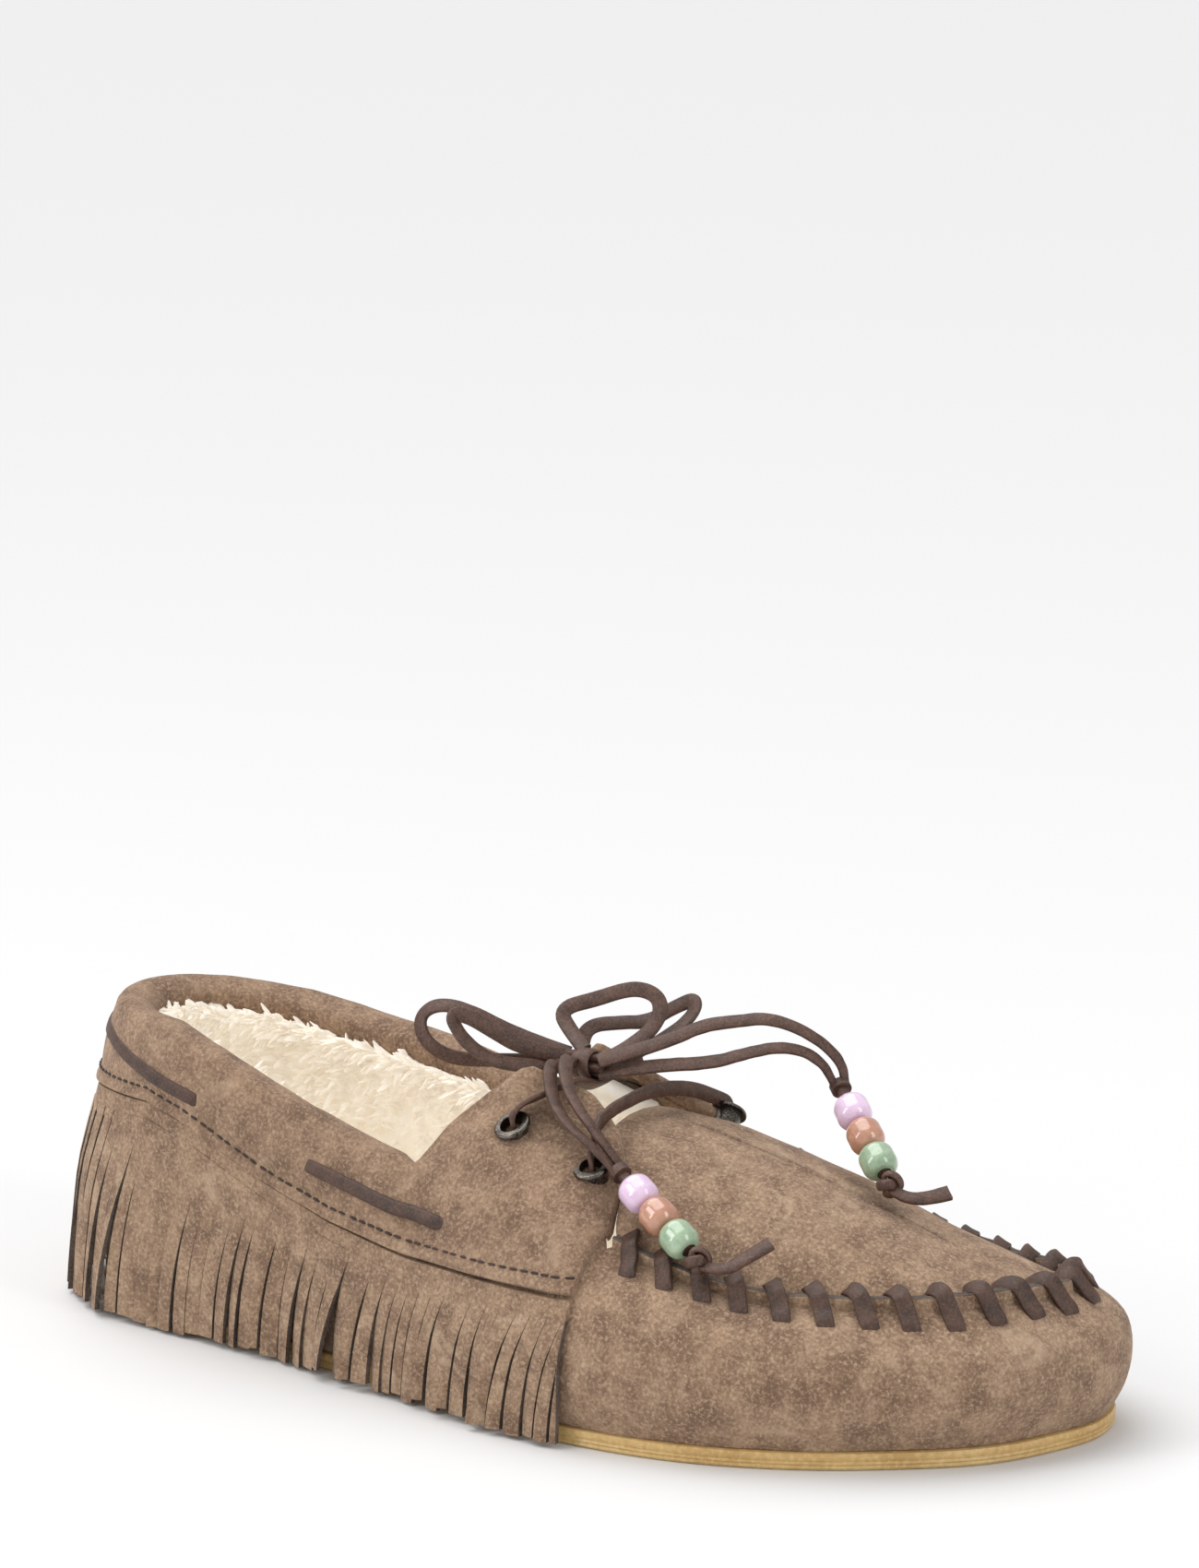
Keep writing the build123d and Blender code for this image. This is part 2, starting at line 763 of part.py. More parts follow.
def lace(name, points):
    """Round tube on straight runs joined by tangent arcs."""
    radii = corner_radii(points)
    path = FilletPolyline(*points, radius=radii).wire()
    start = Plane(origin=points[0], z_dir=(points[1] - points[0]).normalized())
    tube = sweep(start * Circle(lace_diameter / 2), path=path)
    ratio = tube.volume / (math.pi * lace_diameter ** 2 / 4 * path.length)
    print(name, "length", round(path.length, 1), "volume ratio", round(ratio, 4),
          "radii", [round(radius, 1) for radius in radii])
    return tube


def route(points):
    return [shoe_point(*point) for point in points]


# Free laces, from the bow's knot out; x from the heel
LOOPS = {
    "lace_loop_rear_upper": [
        (126.8, -1.8, 71.8), (117.5, -6.5, 75), (108.5, -11, 80), (101, -14, 82.5), (96, -16, 79.5),
        (98, -18, 74.5), (104, -16, 70.4), (112, -10.5, 70), (120, -5.5, 70), (126.8, -1.8, 69.3),
    ],
    "lace_loop_rear_lower": [
        (126.8, -4.3, 69.3), (120.5, -12.5, 70.4), (115.5, -18, 72.5), (110, -20, 77), (107, -20, 82),
        (109.5, -17, 81.5), (114, -13, 77.5), (119.5, -9.5, 73.5), (126.8, -4.3, 71.8),
    ],
    "lace_loop_front_upper": [
        (130, -1, 73.2), (124.5, 2, 75.5), (119.5, 4.5, 79.5), (127, 9, 82), (135, 12, 85.2), (140.8, 13, 83.7),
        (142.5, 11, 79.5), (140, 6, 74.5), (136.2, -1.3, 71.8),
    ],
    "lace_loop_front_lower": [
        (129, 0, 71), (125.8, 4, 72.6), (125.8, 7.3, 76), (130.4, 12, 76.3), (136, 16, 76.3), (141, 19, 79.8),
        (146, 20, 82.5), (147, 17.5, 79), (142.5, 10, 74), (136.2, -1.3, 69.2),
    ],
}
KNOT_CENTRE = (131.5, -3.0, 70.5)

# The beaded ends: middle of the topmost bead, way the beads follow each other, travel of each bead
OUTER_BEADS = ((163.1, -29.9, 52.4), (13, -4.8, -6.4), outer_bead_travel)
INNER_BEADS = ((187.6, 18.9, 62.9), (17, -12.2, -11.1), inner_bead_travel)
BEAD_COLOURS = ("pink", "tan", "green")

# Free laces from the knot to the beads; each ends in the head of the doubled stretch
OUTER_TAILS = [
    [(127.2, -6.4, 70.4), (129.5, -13, 73), (133.2, -20, 71), (138.4, -25.2, 67), (143.6, -28.4, 64.6),
     (148.6, -29.6, 62.4), (153.2, -29, 58.9)],
    [(130.2, -6.4, 72.4), (132.4, -12, 74), (136, -17.8, 71.6), (141.2, -22.6, 68.2), (148.8, -26, 63.6),
     (153.8, -26.6, 59.2)],
]
INNER_TAILS = [
    [(136.2, -4.7, 69.4), (147.5, 2, 71.4), (158.5, 6.5, 72.4), (165.5, 10, 75), (171.6, 13.5, 76.6),
     (176.6, 16.6, 75.6), (179.6, 19.4, 72.4), (180.4, 21.2, 69.4)],
    [(136.2, -4.7, 72), (147.5, 5, 75.8), (154.4, 9.5, 79.8), (161.3, 13, 81), (167.3, 15.5, 82),
     (173.4, 18.2, 80.2), (178.4, 20.6, 77), (181.4, 22.6, 73.4), (182.4, 23.8, 69.8)],
]

# Ends past the stop knots, measured from each knot's lower end
OUTER_TIP = [(3.2, 0.8, -0.2), (6.6, 4.6, 2.2), (10.6, 9.0, 5.4)]
INNER_TIP = [(3.0, 0.2, -0.6), (6.6, 3.8, -0.6), (9.4, 7.2, 0.2)]

# Laces between the eyelets, over the open throat; the ends come from the eyelets
REAR_BAR = [(130.5, -25.5, 66.8), (133, -21.5, 68), (135, -16.5, 69.2), (135.2, -11, 68.6), (134.6, -4, 66),
            (134.5, 5, 66), (132.5, 12, 68.4), (129.8, 17.5, 68.2)]
FRONT_BAR = [(148.2, -24.5, 60.8), (146, -20, 63), (146.2, -15.5, 64.8), (145.6, -8, 65), (146, 0, 65.6),
             (147.7, 8, 64.9), (148.7, 15.5, 62.8), (149.6, 21, 60.2)]


class Chain:
    """Straight doubled stretch of lace with three beads, resting on a knot at its end."""

    def __init__(self, beads):
        top, step, self.travel = beads
        self.along = Vector(*step).normalized()
        self.top = route([top])[0]

    def at(self, distance):
        """Point at a distance past the middle of the topmost bead."""
        return self.top + self.along * distance

    def plane(self, distance):
        return Plane(origin=self.at(distance), z_dir=self.along)

    def rod(self, start, end, diameter):
        plane = self.plane(start)
        return extrude(plane * Circle(diameter / 2), end - start, dir=self.along)

    @property
    def knot_top(self):
        return bead_length * 2.5 + bead_gap * 3

    @property
    def head_end(self):
        """Upper end of the free stretch, past the travel of all three beads."""
        return -bead_length / 2 - 3 * self.travel - bead_gap

    def core(self):
        head_start = self.head_end - core_head_length
        head = self.rod(head_start, self.head_end, core_head_diameter)
        return head + self.rod(self.head_end, self.knot_top, bead_core)

    def bead(self, k):
        centre = self.plane(k * (bead_length + bead_gap))
        ball = Cylinder(bead_diameter / 2, bead_length)
        ball = fillet(ball.edges().filter_by(GeomType.CIRCLE), bead_round)
        return centre * (ball - Cylinder(bead_bore / 2, bead_length * 2))

    def stop_knot(self):
        middle = self.plane(self.knot_top + stop_knot_length / 2)
        knot = Cylinder(stop_knot_diameter / 2, stop_knot_length)
        return middle * fillet(knot.edges().filter_by(GeomType.CIRCLE), stop_knot_diameter * 0.35)

    def tail(self, points, side):
        """Route from the knot into the head, to one side of the middle."""
        across = self.along.cross(Vector(0, 0, 1)).normalized() * side * (lace_diameter / 2 + 0.05)
        return route(points) + [self.at(self.head_end - core_head_length + 1.0) + across]

    def tip(self, points):
        """Route of the end that shows past the stop knot."""
        end = self.knot_top + stop_knot_length
        return [self.at(end - 1.0)] + [self.at(end) + Vector(*point) for point in points]


def bow_knot():
    knot = Box(knot_length, knot_width, knot_height)
    return Location(route([KNOT_CENTRE])[0]) * fillet(knot.edges(), knot_round)


def bar(points, start_plane, end_plane):
    """Route out of one eyelet, over the throat and into another."""
    out, into = 3.4, 1.2
    first = [start_plane.origin - start_plane.z_dir * into, start_plane.origin + start_plane.z_dir * out]
    last = [end_plane.origin + end_plane.z_dir * out, end_plane.origin - end_plane.z_dir * into]
    return first + route(points) + last


eyelets = {
    "eyelet_rear_outer": eyelet_frame(eyelet_rear_x, eyelet_rear_z, -1),
    "eyelet_front_outer": eyelet_frame(eyelet_front_x, eyelet_front_z, -1),
    "eyelet_rear_inner": eyelet_frame(eyelet_rear_x, eyelet_rear_z, 1),
    "eyelet_front_inner": eyelet_frame(eyelet_front_x, eyelet_front_z, 1),
}


def with_holes(solid, cutter):
    for plane in eyelets.values():
        solid -= cutter(plane)
    return max(solid.solids(), key=lambda piece: piece.volume)


def collar_with_slots():
    band = with_holes(collar(), eyelet_cutter)
    for span in thong_spans:
        for s in span:
            band -= thong_slot(s)
    return max(band.solids(), key=lambda piece: piece.volume)


half_gap = 0.02
quarter_end = place_of(vamp_start_x - butt_gap, 6, 7)
inner_quarter_start = place_of(vamp_start_x - butt_gap, 17, 16)
nodes = {
    "outsole": outsole(),
    "insole_board": insole_board(),
    "footbed": footbed(),
    "heel_counter": heel_counter(),
    "quarter_outer": with_holes(quarter(half_gap, quarter_end), eyelet_cutter),
    "quarter_inner": with_holes(quarter(inner_quarter_start, turn - half_gap), eyelet_cutter),
    "vamp": vamp(),
    "apron": with_holes(apron(), tongue_pocket),
    "apron_lining": apron_lining(),
    "vamp_lining": vamp_lining(),
    "heel_lining": with_holes(rear_lining(), washer_cutter),
    "collar": collar_with_slots(),
    "fringe_outer": fringe(half_gap, outer_front),
    "fringe_inner": fringe(inner_front, turn - half_gap),
    "collar_lace": Compound([thong(*span) for span in thong_spans]),
    "whip_lace": Compound(
        [whip_stitch(s) for s in spaced(seam_start, seam_end, whip_pitch, lambda s: place(s, *seam_point(s)))]
    ),
    "collar_stitching": Compound(
        [collar_stitch(s) for s in spaced(inner_front - turn, outer_front, stitch_pitch, stitch_point)]
    ),
    "eyelet_washers": Compound([washer(plane) for plane in eyelets.values()]),
    "bow_knot": bow_knot(),
}
for name, plane in eyelets.items():
    nodes[name] = eyelet(plane)
for name, points in LOOPS.items():
    nodes[name] = lace(name, route(points))
bars = {
    "lace_bar_rear": (REAR_BAR, "eyelet_rear_outer", "eyelet_rear_inner"),
    "lace_bar_front": (FRONT_BAR, "eyelet_front_outer", "eyelet_front_inner"),
}
for name, (points, start, end) in bars.items():
    nodes[name] = lace(name, bar(points, eyelets[start], eyelets[end]))
for side, beads, tails, tip in (
    ("outer", OUTER_BEADS, OUTER_TAILS, OUTER_TIP),
    ("inner", INNER_BEADS, INNER_TAILS, INNER_TIP),
):
    chain = Chain(beads)
    nodes["lace_core_" + side] = chain.core()
    nodes["stop_knot_" + side] = chain.stop_knot()
    for k, colour in enumerate(BEAD_COLOURS):
        nodes["bead_" + colour + "_" + side] = chain.bead(k)
    for label, sign, points in zip("ab", (1, -1), tails):
        name = "lace_tail_" + side + "_" + label
        nodes[name] = lace(name, chain.tail(points, sign))
    name = "lace_tip_" + side
    nodes[name] = lace(name, chain.tip(tip))
    print(side, "bead slide axis", [round(v, 5) for v in -chain.along], "top bead", chain.top)

for name, shape in nodes.items():
    export_step(shape, "parts/" + name + ".step")
print(len(nodes), "nodes")
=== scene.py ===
import json
import math
import random

import bpy
import numpy as np
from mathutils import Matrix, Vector, noise

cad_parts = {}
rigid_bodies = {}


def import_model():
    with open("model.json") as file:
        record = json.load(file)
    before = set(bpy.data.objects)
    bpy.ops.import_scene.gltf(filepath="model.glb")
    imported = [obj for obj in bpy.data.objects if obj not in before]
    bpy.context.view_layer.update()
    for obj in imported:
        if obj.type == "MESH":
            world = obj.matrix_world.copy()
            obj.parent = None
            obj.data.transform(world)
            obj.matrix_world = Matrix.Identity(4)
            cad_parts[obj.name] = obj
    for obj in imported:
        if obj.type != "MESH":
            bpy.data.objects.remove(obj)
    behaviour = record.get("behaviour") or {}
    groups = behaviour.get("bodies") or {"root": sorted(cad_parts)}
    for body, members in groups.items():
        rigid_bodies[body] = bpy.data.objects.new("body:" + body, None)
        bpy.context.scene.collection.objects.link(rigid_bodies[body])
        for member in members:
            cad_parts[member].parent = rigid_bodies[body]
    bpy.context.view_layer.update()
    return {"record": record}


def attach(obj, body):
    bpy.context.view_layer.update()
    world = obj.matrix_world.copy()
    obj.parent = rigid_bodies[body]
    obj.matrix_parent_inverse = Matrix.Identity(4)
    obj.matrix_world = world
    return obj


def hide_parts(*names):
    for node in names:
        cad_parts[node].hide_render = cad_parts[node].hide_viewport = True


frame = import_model()
bpy.ops.object.select_all(action="DESELECT")
random.seed(7)

mm = 0.001
shoe = frame["record"]["behaviour"]["joints"][0]["parent"]

# where the middle of the heel stands in the frame, and the shoe's drawn lines, all in millimetres
heelX, middleY = -124.0, 1.8
soleOutline = [
    (0, 0), (5, -15), (18, -25.5), (40, -31), (75, -35), (115, -43), (150, -49.5), (180, -47.5),
    (205, -38.5), (225, -25.5), (240.5, -11), (249, 6), (251.5, 19), (247, 32), (233, 41),
    (210, 45.5), (180, 45), (145, 38), (110, 31), (75, 28.5), (40, 28.5), (18, 24.5), (5, 14.5),
]
toeIndex = 12
turn = len(soleOutline)
outerSide = [
    (0, [(-1, 4), (0.5, 17), (-0.5, 34), (-2, 50), (-4.5, 60), (-8, 69)]),
    (35, [(-1, 4), (0.5, 17), (1, 34), (0.5, 51), (0, 60), (-2.5, 69.5)]),
    (75, [(-1, 4), (1, 14), (1.5, 26), (1, 38), (0.5, 48), (-2.5, 57)]),
    (107, [(-1, 4), (1, 12), (1, 22), (-0.5, 34), (-3, 43), (-6.5, 49.5)]),
    (111, [(-1, 4), (1, 13), (0.3, 25), (-2, 37), (-7, 49), (-14, 59)]),
    (120, [(-1, 4), (1, 13), (0, 26), (-4, 42), (-13, 58), (-28, 71)]),
    (131, [(-1, 4), (1, 13), (0, 26), (-4.5, 41), (-15, 56), (-36, 65)]),
    (146, [(-1, 4), (1, 13), (-0.5, 25), (-5.5, 38), (-17, 51.5), (-32, 59)]),
    (152, [(-1, 4), (1.2, 12.5), (0.2, 23.5), (-4, 35), (-13, 46), (-29, 54)]),
    (158, [(-1, 4), (1.5, 12), (1, 22), (-3, 31), (-8.5, 37.5), (-16, 42)]),
    (175, [(-1, 4), (2, 12), (2, 20), (-1.5, 29), (-7, 35), (-14, 37.4)]),
    (205, [(-1, 4), (2.5, 12), (3, 19), (1.5, 26), (-3, 31), (-10.5, 32.8)]),
    (230, [(-1, 4), (3, 11), (4.5, 17), (3, 24), (-2, 29), (-8.5, 31)]),
    (251.5, [(-1, 4), (2, 10), (3.2, 17), (2, 24), (-2.5, 28), (-9, 29.2)]),
]
innerSide = [
    (0, [(-1, 4), (0.5, 17), (-0.5, 34), (-2, 50), (-4.5, 60), (-8, 69)]),
    (35, [(-1, 4), (0.5, 16), (1, 32), (0.5, 48), (0, 57), (-2.5, 65)]),
    (75, [(-1, 4), (1, 14), (1.5, 26), (1, 39), (0.5, 50), (-2.5, 60)]),
    (107, [(-1, 4), (1, 12), (1, 22), (-0.5, 35), (-3, 46), (-6.5, 55)]),
    (112, [(-1, 4), (1, 13), (0.3, 25), (-2, 38), (-7, 51), (-14, 61)]),
    (120, [(-1, 4), (1, 13), (0, 26), (-3, 42), (-10, 57), (-19, 68.5)]),
    (131, [(-1, 4), (1, 13), (0, 26), (-3, 41), (-9, 54), (-18, 63)]),
    (146, [(-1, 4), (1, 13), (-0.5, 25), (-3, 37), (-8, 47), (-15, 55)]),
    (152, [(-1, 4), (1.2, 12.5), (0.2, 23.5), (-2, 34), (-6.5, 43), (-13, 50)]),
    (158, [(-1, 4), (1.5, 12), (1, 22), (-1, 31), (-4.5, 37.5), (-9, 41)]),
    (175, [(-1, 4), (2, 12), (3, 20), (2, 28), (-1, 34), (-6, 36)]),
    (205, [(-1, 4), (2.5, 12), (4, 18), (3, 25), (-1, 30), (-7.5, 31)]),
    (230, [(-1, 4), (2.5, 11), (3.8, 17), (2.5, 23.5), (-2, 28), (-8.5, 29)]),
    (251.5, [(-1, 4), (2, 10), (3.2, 17), (2, 24), (-2.5, 28), (-9, 29.2)]),
]
collarEdge = [(0, 50.5), (15, 52), (32, 53), (43, 50.6), (66.5, 41.7), (88, 36), (111, 32.7), (159, 32.3)]
thongLine = [(0, 64), (14, 63.2), (36, 58.6), (49, 55.6), (79, 47.5), (105, 42), (121, 40.5)]
# distance from the heel, then middle line, half width, outer edge, crest and inner edge heights
apronLines = [
    (140, (0, 31, 47, 61.5, 46)), (160, (1.5, 36, 40.5, 59.5, 40)), (175, (2.6, 36.6, 37.4, 56, 36)),
    (190, (3.6, 35.4, 34.8, 52, 33)), (205, (4.8, 33, 32.8, 47, 31)), (218, (7, 29, 31.6, 42, 29.8)),
    (230, (9.5, 25.5, 30.6, 37, 29.2)), (240, (12, 22, 30, 33, 29)), (255, (13, 20, 29.4, 29.6, 28.8)),
]


def catmull(a, b, c, d, t):
    return tuple(
        0.5 * (2 * q + (r - p) * t + (2 * p - 5 * q + 4 * r - u) * t * t + (3 * q - p - 3 * r + u) * t ** 3)
        for p, q, r, u in zip(a, b, c, d)
    )


def between(table, x):
    if x <= table[0][0]:
        return table[0][1]
    for (x0, a), (x1, b) in zip(table, table[1:]):
        if x <= x1:
            t = (x - x0) / (x1 - x0)
            if isinstance(a, (int, float)):
                return a + (b - a) * t
            return tuple(p + (q - p) * t for p, q in zip(a, b))
    return table[-1][1]


def outline(s):
    i = math.floor(s)
    return catmull(*[soleOutline[(i + k) % turn] for k in (-1, 0, 1, 2)], s - i)


def outward(s):
    (x0, y0), (x1, y1) = outline(s - 0.02), outline(s + 0.02)
    length = math.hypot(x1 - x0, y1 - y0)
    return (y1 - y0) / length, (x0 - x1) / length


def apronHeight(x, y):
    middle, half, outerZ, crestZ, innerZ = between(apronLines, x)
    u = (y - middle) / half
    side = min(max((u + 1) / 2, 0), 1)
    base = outerZ + (innerZ - outerZ) * side
    return base + (crestZ - (outerZ + innerZ) / 2) * (1 - min(abs(u), 1) ** 2.2)


def smoothStep(a, b, x):
    t = min(max((x - a) / (b - a), 0), 1)
    return t * t * (3 - 2 * t)


profileCache = {}


def profile(s):
    key = round(s, 4)
    if key not in profileCache:
        table = outerSide if s % turn <= toeIndex else innerSide
        x = outline(s)[0]
        points = [between([(place, row[k]) for place, row in table], x) for k in range(6)]
        points[0] = (points[0][0], 4.1)
        if x > 158:
            (px, py), (nx, ny) = outline(s), outward(s)
            w = points[5][0]
            points[5] = (w, apronHeight(px + nx * w, py + ny * w))
        first = tuple(2 * a - b for a, b in zip(points[0], points[1]))
        last = tuple(2 * a - b for a, b in zip(points[5], points[4]))
        profileCache[key] = [first] + points + [last]
    return profileCache[key]


def onProfile(s, h):
    around = profile(s)
    h *= 5
    i = min(max(int(math.floor(h)), 0), 4)
    return catmull(*around[i:i + 4], h - i)


def rise(s, h):
    (w0, z0), (w1, z1) = onProfile(s, h - 0.01), onProfile(s, h + 0.01)
    length = math.hypot(w1 - w0, z1 - z0)
    return (w1 - w0) / length, (z1 - z0) / length


def local(s, h, d=0.0):
    (w, z), (tw, tz) = onProfile(s, h), rise(s, h)
    return w + d * tz, z - d * tw


def place(s, w, z):
    (x, y), (nx, ny) = outline(s), outward(s)
    return Vector((heelX + x + nx * w, middleY + y + ny * w, z)) * mm


def wall(s, h, d=0.0):
    return place(s, *local(s, h, d))


def shareAt(s, z):
    low, high = 0.0, 1.0
    for _ in range(24):
        half = (low + high) / 2
        if onProfile(s, half)[1] < z:
            low = half
        else:
            high = half
    return low


def placeOf(x, start, end):
    low, high = start, end
    rising = outline(end)[0] > outline(start)[0]
    for _ in range(30):
        half = (low + high) / 2
        if (outline(half)[0] < x) == rising:
            low = half
        else:
            high = half
    return low


def uneven(point, size, amount, seed=0.0):
    return amount * noise.noise(Vector(point) / (size * mm) + Vector((seed, seed * 2.7, -seed)))


# distances along the wall where pieces start and stop
outerFront, innerFront = placeOf(157.2, 6, 7), placeOf(157.2, 17, 16)
outerFlap, innerFlap = placeOf(133, 5, 6), placeOf(133, 18, 17)
seamStart, seamEnd = placeOf(160, 6, 7), placeOf(160, 17, 16)
vampStart, vampEnd = placeOf(153, 6, 7), placeOf(153, 17, 16)


def spread(start, end, count):
    return [start + (end - start) * i / (count - 1) for i in range(count)]


def evenPlaces(start, end, pitch, line):
    fine = spread(start, end, 601)
    points = [line(s) for s in fine]
    runs = [(b - a).length for a, b in zip(points, points[1:])]
    spacing = sum(runs) / round(sum(runs) / (pitch * mm))
    places, run, target = [], 0.0, spacing / 2
    for s, length in zip(fine, runs):
        run += length
        if run >= target:
            places.append(s)
            target += spacing
    return places


def shareBelowTop(s, distance):
    h, run = 1.0, 0.0
    while run < distance and h > 0.02:
        (w0, z0), (w1, z1) = onProfile(s, h), onProfile(s, h - 0.02)
        run += math.hypot(w1 - w0, z1 - z0)
        h -= 0.02
    return h


# ---- meshes: a store gathers rings of points, and becomes one piece
def newStore():
    return {"verts": [], "faces": [], "slots": [], "uvs": []}


def addRings(store, rings, slots=None, cap=True, closed=True):
    first = len(store["verts"])
    count = len(rings[0])
    run = 0.0
    for i, ring in enumerate(rings):
        if i:
            run += (ring[0] - rings[i - 1][0]).length
        for j, point in enumerate(ring):
            store["verts"].append(tuple(point))
            store["uvs"].append((j / (count - 1), run * 100))
    across = count if closed else count - 1
    for i in range(len(rings) - 1):
        for j in range(across):
            a, b = first + i * count + j, first + i * count + (j + 1) % count
            store["faces"].append((a, b, b + count, a + count))
            store["slots"].append(slots[j] if slots else 0)
    if cap:
        last = first + (len(rings) - 1) * count
        store["faces"].append(tuple(first + j for j in reversed(range(count))))
        store["faces"].append(tuple(last + j for j in range(count)))
        store["slots"] += [slots[0] if slots else 0] * 2


def makePiece(name, store, materials, nodes=(), angle=50, levels=0, body=shoe):
    mesh = bpy.data.meshes.new(name)
    mesh.from_pydata(store["verts"], [], store["faces"])
    for material in materials:
        mesh.materials.append(material)
    mesh.polygons.foreach_set("material_index", store["slots"])
    layer = mesh.uv_layers.new(name="UVMap")
    index = np.empty(len(mesh.loops), dtype=np.int32)
    mesh.loops.foreach_get("vertex_index", index)
    layer.data.foreach_set("uv", np.array(store["uvs"], dtype=np.float32)[index].ravel())
    piece = bpy.data.objects.new(name, mesh)
    bpy.context.collection.objects.link(piece)
    bpy.ops.object.select_all(action="DESELECT")
    bpy.context.view_layer.objects.active = piece
    piece.select_set(True)
    bpy.ops.object.mode_set(mode="EDIT")
    bpy.ops.mesh.select_all(action="SELECT")
    bpy.ops.mesh.normals_make_consistent(inside=False)
    bpy.ops.object.mode_set(mode="OBJECT")
    if levels:
        smoother = piece.modifiers.new("smoother", "SUBSURF")
        smoother.levels = levels
        smoother.render_levels = levels
        bpy.ops.object.modifier_apply(modifier="smoother")
    bpy.ops.object.shade_smooth_by_angle(angle=math.radians(angle))
    piece.select_set(False)
    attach(piece, body)
    if nodes:
        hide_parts(*nodes)
    print("made", name, len(mesh.polygons))
    return piece


def wallRings(start, end, count, low, high, inner, outer, rows=14, rough=0.0, grain=9):
    rings = []
    for s in spread(start, end, count):
        h0, h1 = low(s), high(s)
        hs = spread(h0, h1, rows)
        mid = (inner + outer) / 2
        ring = []
        for h in hs:
            point = wall(s, h, outer)
            ring.append(wall(s, h, outer + uneven(point, grain, rough)))
        ring.append(wall(s, h1, mid) + (ring[-1] - wall(s, h1 - 0.02, outer)).normalized() * abs(outer - inner) * 0.3 * mm)
        ring += [wall(s, h, inner) for h in reversed(hs)]
        ring.append(wall(s, h0, mid))
        rings.append(ring)
    return rings


def ribbonRings(points, normal, width, thickness, taper=(1, 1), wrinkle=0.0, seed=0.0):
    rings = []
    normal = Vector(normal).normalized()
    count = len(points)
    half, thick = width / 2 * mm, thickness / 2 * mm
    section = [(-1, -0.6), (-1, 0.6), (-0.88, 1), (0, 0.82), (0.88, 1), (1, 0.6), (1, -0.6), (0.88, -1), (0, -0.82), (-0.88, -1)]
    for i, point in enumerate(points):
        along = (points[min(i + 1, count - 1)] - points[max(i - 1, 0)]).normalized()
        normal = (normal - along * normal.dot(along)).normalized()
        side = along.cross(normal)
        share = i / (count - 1)
        size = taper[0] * (1 - share) + taper[1] * share
        ring = []
        for a, b in section:
            lift = uneven(point + side * a * half, 2.6, wrinkle, seed) * mm
            ring.append(point + side * a * half * size + normal * (b * thick * (0.6 + 0.4 * size) + lift))
        rings.append(ring)
    return rings


def smoothLine(points, resolution=8):
    curve = bpy.data.curves.new("line", "CURVE")
    curve.dimensions = "3D"
    spline = curve.splines.new("NURBS")
    spline.points.add(len(points) - 1)
    for target, point in zip(spline.points, points):
        target.co = (*point, 1)
    spline.order_u = 3
    spline.use_endpoint_u = True
    spline.resolution_u = resolution
    curve.resolution_u = resolution
    holder = bpy.data.objects.new("line", curve)
    mesh = bpy.data.meshes.new_from_object(holder)
    line = [v.co.copy() for v in mesh.vertices]
    bpy.data.objects.remove(holder)
    bpy.data.curves.remove(curve)
    bpy.data.meshes.remove(mesh)
    return line


def fromHeel(points):
    return [Vector((heelX + x, middleY + y, z)) * mm for x, y, z in points]


# ---- materials
def nodeLink(tree, a, b):
    tree.links.new(a, b)


